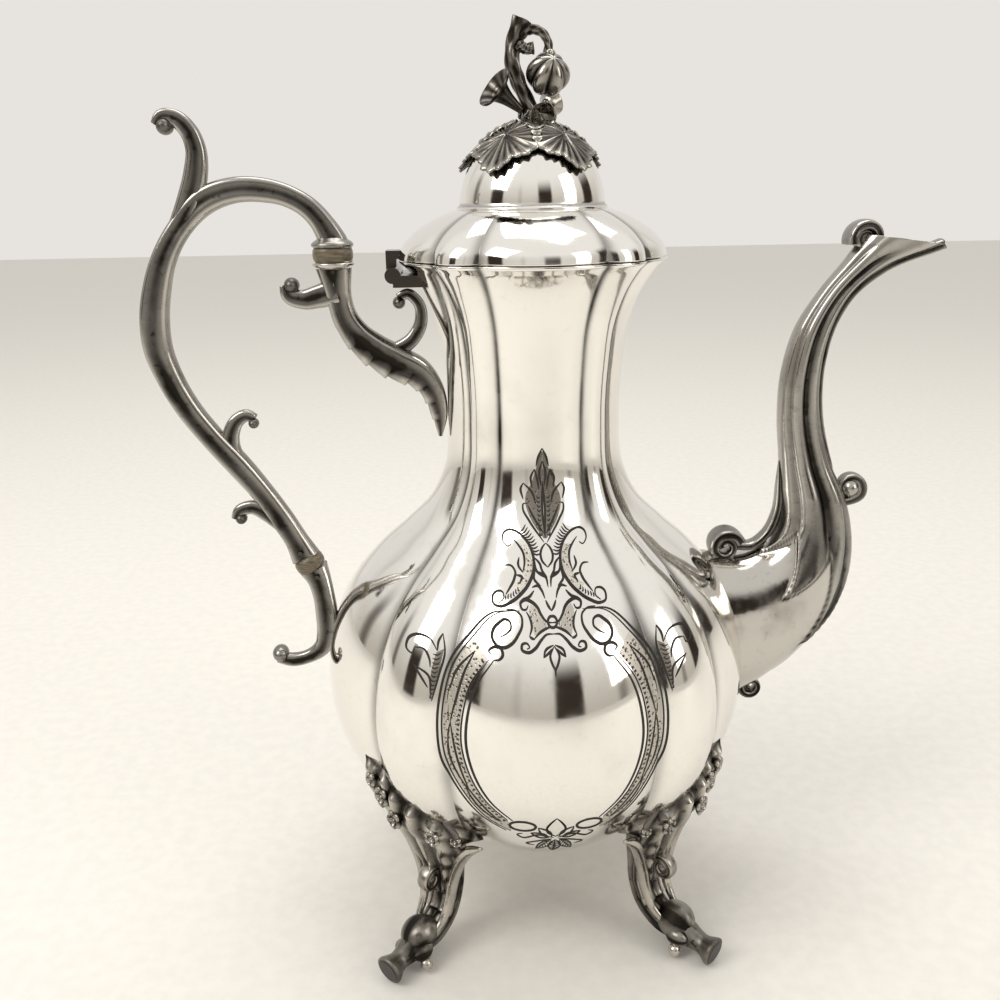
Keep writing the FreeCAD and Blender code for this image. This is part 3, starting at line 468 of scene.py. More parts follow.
def ring(radius, angle, height):
    """Points at a radius, an angle and a height, spread over rows and columns."""
    radius, angle, height = np.broadcast_arrays(radius, angle, height)
    return np.stack([radius * np.cos(angle), radius * np.sin(angle), height], axis=-1)


def unit(rows):
    """Each row as a direction of length one."""
    return rows / np.linalg.norm(rows, axis=1)[:, None]


def beside(ahead):
    """Directions at a quarter turn to directions in a plane."""
    return np.stack([-ahead[:, 1], ahead[:, 0]], axis=1)


def nodes_of(kind):
    """Names of the CAD nodes that begin with a word."""
    return [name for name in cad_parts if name.startswith(kind)]


BODY_LINE = smooth(BODY, 500)


def body_radius(height):
    """Crest radius of the body at a height."""
    return np.interp(height, BODY_LINE[:, 0], BODY_LINE[:, 1])


def lobe_edges():
    """Angles of the eight creases."""
    size = bpy.context.scene.pot_sizes
    edges = [size.side_lobe, math.pi / 2 - size.front_lobe]
    edges += [math.pi - edge for edge in reversed(edges)]
    return np.array(edges + [edge + math.pi for edge in edges])


def lobe_angles(steps=40):
    """Angles round the pot, close together at the creases."""
    edges = lobe_edges()
    near = 0.5 - 0.5 * np.cos(np.linspace(0, math.pi, steps, endpoint=False))
    ends = np.append(edges[1:], edges[0] + TAU)
    return np.concatenate([first + (last - first) * near for first, last in zip(edges, ends)])


def lobed(angle, crease):
    """Radius over crest radius of the eight-lobed outline, each lobe one arc."""
    size = bpy.context.scene.pot_sizes
    fold = np.arctan2(np.abs(np.sin(angle)), np.abs(np.cos(angle)))
    front = math.pi / 2 - size.front_lobe
    middle = np.where(fold < size.side_lobe, 0.0,
                      np.where(fold < front, (size.side_lobe + front) / 2, math.pi / 2))
    half = np.where(fold < size.side_lobe, size.side_lobe,
                    np.where(fold < front, (front - size.side_lobe) / 2, size.front_lobe))
    rise = 1 - crease * np.cos(half)
    arc = ((crease * np.sin(half)) ** 2 + rise ** 2) / (2 * rise)
    turn = fold - middle
    return (1 - arc) * np.cos(turn) + np.sqrt(arc ** 2 - ((1 - arc) * np.sin(turn)) ** 2)


def crease_shading(angle, width):
    """Painted shade along the creases."""
    gap = np.abs((angle[..., None] - lobe_edges() + math.pi) % TAU - math.pi).min(axis=-1)
    return np.exp(-(gap / width) ** 2)


def on_body(angle, height, lift=0.0):
    """Points on the body's outside at an angle and height."""
    radius = body_radius(height) * lobed(angle, bpy.context.scene.pot_sizes.crease) + lift
    return ring(radius, angle, height)


def on_front(across, height, lift, back):
    """Points on the front lobe, or on the back one, at a distance from its middle."""
    crease, radius = bpy.context.scene.pot_sizes.crease, body_radius(height)
    swing = np.arcsin(np.clip(across / radius, -0.95, 0.95))
    for _ in range(3):
        reach = radius * lobed(swing - math.pi / 2, crease)
        swing = np.arcsin(np.clip(across / reach, -0.95, 0.95))
    return on_body(swing + (math.pi / 2 if back else -math.pi / 2), height, lift)


class Clay:
    """Gathers grids of points, each with a darkening value for tarnished hollows, painted shade and painted
    highlights, into one piece.
    """

    def __init__(self):
        self.points, self.patina_and_painted_light, self.faces = [], [], []

    def grid(self, rows, patina_and_painted_light=0.0, wrap=True, closed=True):
        """Rows of points; wrap joins a row's end to its start, and closed fills the first and last row."""
        count, width = rows.shape[:2]
        start = len(self.points)
        self.points.extend(rows.reshape(-1, 3).tolist())
        self.patina_and_painted_light.extend(np.broadcast_to(patina_and_painted_light, (count, width)).ravel().tolist())
        for i in range(count - 1):
            row = start + i * width
            for j in range(width if wrap else width - 1):
                k = (j + 1) % width
                self.faces.append((row + j, row + k, row + width + k, row + width + j))
        if wrap and closed:
            self.faces.append(tuple(range(start + width - 1, start - 1, -1)))
            self.faces.append(tuple(range(start + (count - 1) * width, start + count * width)))

    def sweep(self, path, aspect=0.86, section=None, turn=0.0, shift=0.0, steps=90, sides=40):
        """A casting along a line in the upright plane at a turn about the pot's axis."""
        line = smooth(path, steps)
        across = beside(unit(np.gradient(line[:, :2], axis=0)))
        round_ = around(sides)
        inplane, out, patina_and_painted_light = (section or channelled)(round_, np.linspace(0, 1, steps)[:, None])
        half = line[:, 2:3] / 2
        flat = line[:, None, :2] + across[:, None, :] * (inplane * half)[..., None]
        side = out * half * (line[:, 3:4] if line.shape[1] > 3 else aspect) + shift
        self.grid(np.stack([flat[..., 0] * math.cos(turn) - side * math.sin(turn),
                            flat[..., 0] * math.sin(turn) + side * math.cos(turn), flat[..., 1]], axis=-1),
                  patina_and_painted_light + 0 * side)

    def ball(self, centre, radius, axis=(0, 0, 1), stretch=1.0, ribs=0, depth=0.0, steps=24, patina_and_painted_light=0.0):
        """A round or ribbed body of turning about an axis."""
        polar = np.linspace(0.02, math.pi - 0.02, steps)[:, None]
        round_ = around(max(32, ribs * 10))
        rib = np.abs(np.cos(ribs * round_ / 2)) ** 0.7 if ribs else np.ones_like(round_)
        wide = radius * np.sin(polar) * (1 - depth * (1 - rib))
        local = ring(wide, round_, radius * stretch * np.cos(polar))
        # Painted shade on tarnished grooves between the ribs
        self.grid(local @ facing(axis).T + np.array(centre), patina_and_painted_light + RIB_SHADING_AND_TARNISH * (1 - rib) + 0 * polar)

    def tube(self, points, place, sides=20, steps=60, patina_and_painted_light=0.3):
        """A round rib through points (out, across, up, radius), put in place by a function."""
        line = smooth(points, steps)
        ahead = unit(np.gradient(line[:, :3], axis=0))
        side = unit(np.cross(ahead, [[1.0, 0, 0.2]]))
        up = np.cross(side, ahead)
        round_ = around(sides)[..., None]
        rim = np.cos(round_) * side[:, None] + np.sin(round_) * up[:, None]
        self.grid(place(line[:, None, :3] + line[:, None, 3:] * rim), patina_and_painted_light)

    def turned(self, centre, axis, outline, ruffle=None, sides=48, patina_and_painted_light=0.0):
        """A form turned about an axis: (radius, distance along the axis), with an optional ruffled edge."""
        line, round_ = smooth(outline, TURNED_STEPS), around(sides)
        along = np.linspace(0, 1, TURNED_STEPS)[:, None]
        radius = line[:, :1] * (ruffle(round_, along) if ruffle else 1.0)
        self.grid(ring(radius, round_, line[:, 1:]) @ facing(axis).T + np.array(centre), patina_and_painted_light)

    def make(self, name, finish, body, slot, nodes=()):
        """The piece itself, riding on its body and standing for its CAD nodes."""
        mesh = bpy.data.meshes.new(name)
        mesh.from_pydata((np.array(self.points) * MM).tolist(), [], self.faces)
        # The darkening value, painted shade and highlights as well as tarnished hollows, for the material to
        # read
        mesh.attributes.new("patina_and_painted_light", "FLOAT", "POINT").data.foreach_set("value", self.patina_and_painted_light)
        shape = bmesh.new()
        shape.from_mesh(mesh)
        bmesh.ops.recalc_face_normals(shape, faces=shape.faces)
        shape.to_mesh(mesh)
        shape.free()
        mesh.shade_smooth()
        mesh.materials.append(finish_of(finish))
        piece = bpy.data.objects.new(name, mesh)
        bpy.context.scene.collection.objects.link(piece)
        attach(piece, body)
        if nodes:
            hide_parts(*nodes)


def facing(axis):
    """Matrix that turns +Z to an axis."""
    return np.array(Vector((0, 0, 1)).rotation_difference(Vector(axis)).to_matrix())


def channelled(round_, along):
    """Section with a sunk channel and a ridge along each side, with painted shade in the channel and painted
    highlights along the ridges.
    """
    inplane, out = np.cos(round_), np.sin(round_)
    hollow = bump_at(inplane, -0.06, 0.46) * (np.abs(out) > 0.3)
    out = np.sign(out) * np.abs(out) ** 0.7 * (1 - 0.34 * hollow)
    # Painted shade in the channel, and painted highlight lines along both ridges
    shading_and_patina = 0.55 + 0.45 * hollow - 0.42 * bump_at(inplane, 0.74, 0.13) - 0.36 * bump_at(inplane, -0.8, 0.1)
    return inplane + 0 * along, out + 0 * along, shading_and_patina + 0 * along


def leafy(round_, along):
    """Section whose lower edge is cut into overlapping scales."""
    inplane, out, shading_and_patina = channelled(round_, along)
    scale = (along * 11) % 1
    lower = np.clip(-inplane * 1.6, 0, 1) * np.clip(along * 5 - 1.2, 0, 1)
    # Painted shade just past each scale's step, and a painted highlight near its edge
    shading_and_patina = shading_and_patina + lower * (0.3 * bump_at(scale, 0, 0.2) - 0.3 * bump_at(scale, 0.75, 0.2))
    return inplane * (1 + 0.22 * lower * (scale - 0.4)), out, shading_and_patina


def barked(round_, along):
    """Knotty stem."""
    rough = 1 + 0.09 * np.cos(5 * round_ + 9 * along) + 0.07 * np.cos(3 * round_ - 31 * along)
    # Painted shade in the stem's hollows and painted highlights on its knots
    return np.cos(round_) * rough, np.sin(round_) * rough, 0.74 - 2.4 * (rough - 1)


def ribbed(round_, along):
    """Leg section: two ribs on its outer face with a groove between them, painted in shade."""
    inplane, out = np.cos(round_), np.sin(round_)
    scale = (along * 6) % 1
    front = np.clip(inplane * 2, 0, 1)
    groove, side = bump_at(out, 0, 0.22) * front, bump_at(inplane, -0.05, 0.26)
    thick = 1 + front * (0.16 * (scale - 0.5) - 0.34 * groove)
    # Painted shade in the groove and on the flanks; darker towards the toe; each step gets painted shade just
    # past it and a painted highlight before it
    shading_and_patina = 0.5 + 0.3 * np.clip(along * 2 - 0.7, 0, 1) + 0.5 * groove + 0.45 * side
    shading_and_patina = shading_and_patina + front * (0.4 * bump_at(scale, 0, 0.16) - 0.34 * bump_at(scale, 0.8, 0.2))
    return inplane * thick, out * (1 - 0.36 * side) * (1 + 0.1 * front * (scale - 0.5)), shading_and_patina


def fanned(round_, along):
    """Broad leaf: ridges that fan out over its outer face, and a cut edge."""
    inplane, out = np.cos(round_), np.sin(round_)
    front = np.clip(inplane * 2, 0, 1)
    ridge = 0.5 + 0.5 * np.cos(out * 10.5)
    # Painted highlights on the ridges, painted shade between them and on the back
    shading_and_patina = 0.4 + 0.6 * (1 - ridge) * front + 0.3 * (1 - front) - 0.3 * ridge * front
    notched = out * (1 + 0.09 * np.sin(along * 34) * np.abs(out))
    return inplane * (1 + front * (0.6 * ridge - 0.3)), notched, shading_and_patina + 0 * along


def curl(x, z, radius, start, turns, thick):
    """Line of a volute that winds in about a point."""
    rows = []
    for i in range(22):
        part = i / 21
        angle = math.radians(start) + turns * TAU * part
        reach = radius * (1 - 0.78 * part)
        rows.append((x + reach * math.cos(angle), z + reach * math.sin(angle), thick * (1 - 0.5 * part)))
    return rows


def shell(line, crease, wall, crease_shading_depth):
    """Rows of a lobed wall: up its outside, over the edge and down its inside."""
    angle = lobe_angles()[None, :]
    outer, inner = (ring((line[:, 1:] - inset) * lobed(angle, crease), angle, line[:, :1])
                    for inset in (0, wall))
    # Painted shade along the creases, outside and inside alike
    shading_and_patina = crease_shading_depth * crease_shading(angle, 0.03) + 0 * line[:, :1]
    return np.concatenate([outer, inner[::-1]]), np.concatenate([shading_and_patina, shading_and_patina[::-1]])


class PotBuilder:
    """What the operators share."""

    bl_options = {"REGISTER", "UNDO"}


class COFFEEPOT_OT_body(PotBuilder, bpy.types.Operator):
    """Builds the lobed body with its inside and its rolled mouth"""

    bl_idname = "coffee_pot.body"
    bl_label = "Body"

    def execute(self, context):
        size = context.scene.pot_sizes
        clay = Clay()
        line = smooth(BODY, 170)
        line[:, 1] += MOUTH_ROLL * bump_at(line[:, 0], MOUTH_HEIGHT, MOUTH_WIDTH)
        rows, shading_and_patina = shell(line, size.crease, size.wall / MM, 0.85)
        # Painted crease shade, weaker towards the bottom of the body
        fade = np.interp(rows[..., 2], (60, 130, 150, 200), (0.45, 0.8, 1.0, 1.0))
        inside, outside = (row * np.array([MIDDLE, MIDDLE, 1]) + np.array([0, 0, rise])
                           for row, rise in ((rows[-1:], INSIDE_RISE), (rows[:1], OUTSIDE_RISE)))
        clay.grid(np.concatenate([outside, rows, inside]),
                  np.concatenate([shading_and_patina[:1], shading_and_patina * fade, shading_and_patina[-1:]]))
        clay.make("pot_body", "mirror_silver", "pot", "polished_silver", nodes_of("body_"))
        return {"FINISHED"}


class COFFEEPOT_OT_engraving(PotBuilder, bpy.types.Operator):
    """Engraves the scroll cartouche on the front and back lobes"""

    bl_idname = "coffee_pot.engraving"
    bl_label = "Engraving"

    def stroke(self, clay, points, width, back, taper=True):
        """A cut line that follows points given as distance from the middle and height."""
        line = smooth(points, max(14, 7 * len(points)))
        swell = np.sin(np.linspace(0.12, math.pi - 0.12, len(line))) ** 0.6 if taper else np.ones(len(line))
        side = beside(unit(np.gradient(line, axis=0))) * (width / 2 * swell)[:, None]
        rows = np.stack([line - side, line, line + side], axis=1)
        clay.grid(on_front(rows[..., 0], rows[..., 1], LINE_LIFT, back), 0.4, wrap=False)

    def frond(self, clay, root, width, mirror, back, hatched=True):
        """An engraved leaf: two edges, a rib and slanting hatches."""
        x, z, angle, length, half = root
        angle = math.radians(angle)
        place = lambda s, t: (mirror * (x + s * math.cos(angle) - t * math.sin(angle)),
                              z + s * math.sin(angle) + t * math.cos(angle))
        for edge in (-1, 1):
            bow = [(s, edge * half * math.sin(math.pi * s ** 0.8)) for s in (0, 0.25, 0.5, 0.75, 1)]
            self.stroke(clay, [place(length * s, t) for s, t in bow], width, back)
            for i in range(1, 6 if hatched else 1):
                s = i / 7
                reach = edge * half * math.sin(math.pi * (s + 0.12) ** 0.8) * 0.9
                hatch = [place(length * s, 0.1 * edge), place(length * (s + 0.12), reach)]
                self.stroke(clay, hatch, width * 0.6, back)
        if hatched:
            rib = [place(0, 0), place(length * 0.5, 0.2), place(length * 0.95, 0)]
            self.stroke(clay, rib, width * 0.8, back)

    def band(self, lines, ground, flip, width, back):
        """The long strap between its two lines: punched ground, three leaf ribs and a row of beads."""
        outer, inner = smooth(STRAPS[0][2:], 40) - [[1.4, 0]], smooth(STRAPS[1], 40) + [[1.5, 0]]
        for first, last, place in ((1, 17, 0.62), (15, 30, 0.56), (27, 39, 0.6)):
            rib = inner[first:last] * (1 - place) + outer[first:last] * place
            bow = np.sin(np.linspace(0, math.pi, len(rib)))[:, None]
            for edge in (-1, 1):
                self.stroke(lines, flip((rib + edge * bow * [[1.15, 0.3]])[::2].tolist()), width, back)
        for bead in (inner * 0.86 + outer * 0.14)[1:39]:
            self.stroke(lines, flip([bead, bead + [0.12, -0.6]]), width, back, False)
        self.punched(ground, inner, outer, (0.06, 0.94, 9), flip, 0.0, back)

    def punched(self, ground, first, second, spread, flip, dark, back):
        """Matted ground between two lines."""
        patch = first[:, None] + (second - first)[:, None] * np.linspace(*spread)[None, :, None]
        rows = np.array([flip(row) for row in patch])
        ground.grid(on_front(rows[..., 0], rows[..., 1], GROUND_LIFT, back), dark, wrap=False)

    def half(self, lines, ground, mirror, width, back):
        """One half of the cartouche."""
        flip = lambda points, inset=0.0: [(mirror * (x - inset), z) for x, z in points]
        for strap, inset in zip(STRAPS, (1.3, -1.4)):
            self.stroke(lines, flip(strap), width * 1.1, back)
            self.stroke(lines, flip(strap, inset), width * 0.7, back)
        for strokes, heavy in ((VOLUTES, 1.25), (CUTS, 1.0)):
            for points in strokes:
                self.stroke(lines, flip(points), width * heavy, back)
        for first, second, count in HATCHED:
            for start, end in zip(smooth(first, count), smooth(second, count)):
                bend = (start + end) / 2 + [0.1, -0.5]
                self.stroke(lines, flip([start, bend, end]), width * 0.6, back)
        for (first, second), dark in zip(PUNCHED, (0.85, 0.0, 0.2, 0.8)):
            self.punched(ground, smooth(first, 30), smooth(second, 30), (0.03, 0.97, 7), flip, dark, back)
        for petal in PETALS:
            self.frond(lines, petal, width, mirror, back, False)
        x, z, wide, high = LOOP
        loop = [(x + wide * math.cos(a), z + high * math.sin(a)) for a in np.linspace(0, TAU, 17)]
        self.stroke(lines, flip(loop), width * 1.2, back, False)
        for leaf in FRONDS:
            self.frond(lines, leaf, width * 0.8, mirror, back)
        self.band(lines, ground, flip, width, back)

    def execute(self, context):
        width = context.scene.pot_sizes.line / MM
        lines, ground = Clay(), Clay()
        height, radius = EYE
        eye = [(radius * math.sin(a), height + radius * math.cos(a)) for a in np.linspace(0, TAU, 12)]
        for back in (False, True):
            for mirror in (-1, 1):
                self.half(lines, ground, mirror, width, back)
            self.stroke(lines, eye, width, back, False)
        lines.make("engraved_lines", "engraved_line", "pot", "oxidised_silver")
        ground.make("punched_ground", "punched_ground", "pot", "polished_silver")
        return {"FINISHED"}


class COFFEEPOT_OT_lid(PotBuilder, bpy.types.Operator):
    """Builds the lobed lid and the plain dome on it"""

    bl_idname = "coffee_pot.lid"
    bl_label = "Lid"

    def execute(self, context):
        size = context.scene.pot_sizes
        wall = size.wall / MM
        cover = Clay()
        line = smooth(LID, 60)
        crease = np.interp(line[:, :1], (222, 234, 237), (size.lid_crease, 0.955, 0.985))
        angle = lobe_angles()[None, :]
        radius = line[:, 1:] * lobed(angle, crease)
        outer = ring(radius, angle, line[:, :1])
        under = ring(radius - wall, angle, np.maximum(line[:, :1] - 0.7, LID[0][0]))
        # Painted shade along the lid's creases
        shading_and_patina = 0.6 * crease_shading(angle, 0.05) + 0 * line[:, :1]
        seam = np.concatenate([under[::-1], outer, under[-1:]])
        cover.grid(seam, np.concatenate([shading_and_patina[::-1], shading_and_patina, shading_and_patina[-1:]]), closed=False)
        cover.make("lid_cover", "mirror_silver", "lid", "polished_silver", ["lid_shell"])
        cap = Clay()
        rise = np.linspace(0, math.pi / 2 - 0.03, 40)
        outside = [(DOME_RADIUS * math.cos(a), DOME_HEIGHT * math.sin(a)) for a in rise]
        inside = [((DOME_RADIUS - DOME_WALL) * math.cos(a), (DOME_HEIGHT - DOME_WALL) * math.sin(a))
                  for a in rise[::-1]]
        bead = [(DOME_RADIUS + BEAD * math.cos(a), -0.1 + BEAD * math.sin(a))
                for a in np.linspace(-1.9, 1.2, 14)]
        outline = np.array(inside + bead + outside[1:])
        # Darker band where the dome meets its bead
        cap.grid(ring(outline[:, :1], around(144), DOME_FOOT + outline[:, 1:]),
                 0.55 * bump_at(outline[:, 1:], 0.9, 0.5))
        cap.make("lid_cap", "mirror_silver", "lid", "polished_silver", ["lid_dome"])
        return {"FINISHED"}


class COFFEEPOT_OT_finial(PotBuilder, bpy.types.Operator):
    """Builds the vine leaves, stem, fruit and flowers on the lid"""

    bl_idname = "coffee_pot.finial"
    bl_label = "Finial"

    def leaf(self, clay, turn, size, droop):
        """A five-lobed vine leaf with raised veins and fine pleats, draped over the dome."""
        phi, out = around(120), np.linspace(0.03, 1, 16)[:, None]
        lobe = 2.5 * (phi - math.pi)
        point, pleat = np.abs(np.cos(lobe)) ** 1.4, np.cos(10 * lobe)
        notch = 0.42 * (bump_at(phi, 0, 0.4) + bump_at(phi, TAU, 0.4))
        edge = size * (0.8 + 0.2 * point) * (1 + 0.035 * pleat) * (1 - notch)
        u, v = -out * edge * np.cos(phi), out * edge * np.sin(phi)
        vein = bump_at(np.sin(lobe), 0, 0.16) * (point > 0.3)
        hatch = 0.5 + 0.5 * pleat * np.minimum(1, 1.6 * out)
        relief = 0.9 * vein * (1 - 0.4 * out) + 0.5 * hatch * (1 - vein)
        lift = 0.9 + relief + 0.7 * out ** 3 * (1 - 0.5 * vein) + droop * np.maximum(u / size, 0) ** 3
        slope = 0.62 + (u + 0.12 * v * v / size) / 21.0
        radius, level = DOME_RADIUS * np.sin(slope), DOME_FOOT + DOME_HEIGHT * np.cos(slope)
        steer = turn + v / np.maximum(radius, 7.0)
        face, back = (ring(radius + height * np.sin(slope), steer, level + height * np.cos(slope))
                      for height in (lift, lift - 0.7))
        # Painted shade over the leaf with painted highlights on veins, pleats and rim; the underside painted
        # dark as shade
        shading_and_patina = 1.0 - 0.85 * vein - 0.4 * hatch * (1 - vein) - 0.7 * bump_at(out, 1.0, 0.1) + 0 * phi
        clay.grid(np.concatenate([face, back[::-1]]),
                  np.clip(np.concatenate([shading_and_patina, 0.9 + 0 * shading_and_patina]), 0, 1))

    def execute(self, context):
        leaves = Clay()
        for turn, size, droop in VINE_LEAVES:
            self.leaf(leaves, math.radians(turn), size, droop)
        leaves.make("vine_leaves", "finial_silver", "lid", "oxidised_silver", ["leaf_spray"])
        clay = Clay()
        for line, shift, steps, sides in ((STEM, 0.0, 80, 30), (STALK, 0.0, 40, 20), (STUB, -1.4, 20, 20)):
            clay.sweep(line, 1.0, barked, shift=shift, steps=steps, sides=sides)
        clay.ball(FRUIT, 6.6, (0.2, -0.7, 0.7), 0.9, 6, 0.3, 36, 0.25)
        clay.ball(FRUIT_TIP, 1.5, (0.25, -0.3, 1), 0.7, 5, 0.3)
        petals = lambda count, depth: lambda round_, along: 1 + depth * along ** 3 * np.cos(count * round_)
        veins = 0.5 + 0.45 * np.abs(np.cos(5 * around(48)))
        clay.turned(TRUMPET_PLACE, TRUMPET_AXIS, TRUMPET, petals(5, 0.1), patina_and_painted_light=veins)
        for place, axis in BELLS:
            clay.turned(place, axis, BELL, petals(5, 0.14), patina_and_painted_light=veins * 0.4)
        for x, y, z, radius in BUDS:
            clay.ball((x, y, z), radius, (0.3, -0.5, 0.7), 1.2, 5, 0.25, patina_and_painted_light=0.3)
        clay.make("finial_cast", "finial_silver", "lid", "oxidised_silver", ["finial"])
        return {"FINISHED"}


class COFFEEPOT_OT_handle(PotBuilder, bpy.types.Operator):
    """Builds the scroll handle, its brackets and its insulators"""

    bl_idname = "coffee_pot.handle"
    bl_label = "Handle"

    def tips(self, clay, places):
        """Round ends of the scrolls."""
        for x, z, radius in places:
            # Painted shade on the round ends of the scrolls
            clay.ball((x, 0, z), radius, (0, 1, 0), 1.5, patina_and_painted_light=0.8)

    def insulator(self, name, centre, lean, radius, node):
        """A turned disc between the handle and a bracket."""
        clay = Clay()
        axis = (-math.sin(lean), 0, math.cos(lean))
        half = ((radius + 0.2, 0), (radius, 1.5), (radius - 0.5, INSULATOR_HALF), (0.2, INSULATOR_HALF))
        clay.turned(centre, axis, tuple((wide, -high) for wide, high in half[:0:-1]) + half)
        clay.make(name, "tan_bone", "pot", "ivory", [node])

    def execute(self, context):
        grip = Clay()
        grip.sweep(HANDLE, 0.88, steps=260)
        for line, steps in ((THUMB, 70), (INNER_SPRIG, 40), (OUTER_SPRIG, 50)):
            grip.sweep(line, 0.9, steps=steps)
        self.tips(grip, HANDLE_TIPS)
        grip.turned(HANDLE_COLLAR_PLACE, (0, 0, 1), HANDLE_COLLAR, patina_and_painted_light=0.5)
        grip.make("handle_cast", "chased_silver", "pot", "cast_silver", ["handle"])
        upper = Clay()
        upper.sweep(UPPER_S, 0.9, leafy, steps=200)
        upper.sweep(UPPER_CURL, 0.86, steps=60)
        upper.sweep(UPPER_C, 0.9, steps=60)
        self.tips(upper, BRACKET_TIPS)
        upper.turned(BRACKET_COLLAR_PLACE, (0, 0, 1), BRACKET_COLLAR)
        upper.make("upper_bracket", "chased_silver", "pot", "cast_silver", ["upper_socket"])
        lower = Clay()
        lower.sweep(LOWER_S, 0.9, steps=120)
        # Painted shade on the round end
        lower.ball((-88, 0, 90.8), 2.8, (0, 1, 0), 1.4, patina_and_painted_light=0.65)
        lower.make("lower_bracket", "chased_silver", "pot", "cast_silver", ["lower_socket"])
        self.insulator("upper_bone", UPPER_JOINT, 0.0, 6.0, "upper_insulator")
        self.insulator("lower_bone", LOWER_JOINT, LOWER_LEAN, 4.8, "lower_insulator")
        return {"FINISHED"}


class COFFEEPOT_OT_spout(PotBuilder, bpy.types.Operator):
    """Builds the fluted swan-neck spout with its leaves and volutes"""

    bl_idname = "coffee_pot.spout"
    bl_label = "Spout"

    def execute(self, context):
        clay = Clay()
        line = smooth(SPOUT, 320)
        part = np.linspace(0, 1, len(line))[:, None]
        round_ = np.linspace(-math.pi, math.pi, 150, endpoint=False)[None, :]
        turn = np.abs(round_) / math.pi
        grow = np.clip((part - 0.26) / 0.12, 0, 1) * np.clip((0.99 - part) / 0.08, 0.25, 1)
        groove = sum(depth * bump_at(turn, place, width) for place, width, depth in FLUTES)
        leaf = np.abs(2 * ((turn * 3 + 0.25) % 1) - 1)
        tips = 0.2 + 0.15 * leaf ** 0.8 - 0.02 * turn
        over = 1 / (1 + np.exp(-np.clip((part - tips) / 0.005, -50, 50)))
        root = 0.06 * bump_at(turn, 0.5, 0.12) * np.clip(part / 0.1, 0, 1) * (1 - over)
        reach = np.clip((0.44 - part) / 0.1, 0, 1) * np.clip((part - tips) / 0.03, 0, 1)
        hollow = bump_at(leaf, 0.0, 0.42) * over * reach
        full = 0.12 * over * np.clip((0.6 - part) / 0.3, 0, 1)
        swell = 1 - groove * grow * over - root + full - 0.09 * hollow

        def wall(inset):
            """The spout's wall, drawn in by an inset."""
            middle = (line[:, 0:2] + line[:, 2:4]) / 2
            half = (line[:, 0:2] - line[:, 2:4]) / 2
            keep = 1 - inset / np.linalg.norm(half, axis=1)[:, None]
            flat = middle[:, None, :] + half[:, None, :] * (np.cos(round_) * swell * keep)[..., None]
            side = np.maximum(line[:, 4:5] / 2 - inset, 1) * np.sin(round_) * swell
            return np.stack([flat[..., 0], side, flat[..., 1]], axis=-1)

        outer, inner = wall(0.0), wall(SPOUT_WALL)
        angle = np.arctan2(outer[..., 1], outer[..., 0])
        skin = on_body(angle, np.clip(outer[..., 2], 32, 221), -0.5)
        deep = np.hypot(outer[..., 0], outer[..., 1]) < np.hypot(skin[..., 0], skin[..., 1])
        outer = np.where(deep[..., None], skin, outer)
        # Painted shade in the flutes, in the leaf hollows and in a line along the leaf tips, a painted
        # highlight stripe between two flutes, and the leaves at the foot lighter
        shading_and_patina = (0.32 + 2.6 * groove * grow * over - 0.2 * bump_at(turn, 0.67, 0.04) * over + 0.55 * hollow
                + 0.9 * bump_at(part, tips - 0.006, 0.008) - 0.3 * (1 - over))
        shading_and_patina = np.concatenate([shading_and_patina, np.full_like(shading_and_patina[:INSIDE_END:-1], 0.5)])
        clay.grid(np.concatenate([outer, inner[:INSIDE_END:-1]]), np.clip(shading_and_patina, 0, 1), closed=False)
        edge = [(x - 0.6, z, 3.6 - 0.12 * i) for i, (_, _, x, z, _) in enumerate(SPOUT[:4:-1])]
        clay.sweep(edge + curl(107.2, 144.2, 4.6, -60, 1.1, 4.2)[2:], 1.9, steps=160)
        clay.ball((107.2, 0, 144.2), 3.4, (0, 1, 0), 1.3, patina_and_painted_light=0.25)
        clay.sweep(LOWER_EDGE + tuple(curl(77.4, 70.8, 4.0, 131, 1.4, 3.0)), 2.2, steps=140)
        for (x, z, radius, start, turns, thick), wide in SPOUT_VOLUTES:
            clay.sweep(curl(x, z, radius, start, turns, thick), wide, steps=70)
        clay.sweep(UPPER_EDGE, 2.0)
        clay.make("spout_cast", "chased_silver", "pot", "cast_silver", nodes_of("spout_"))
        return {"FINISHED"}


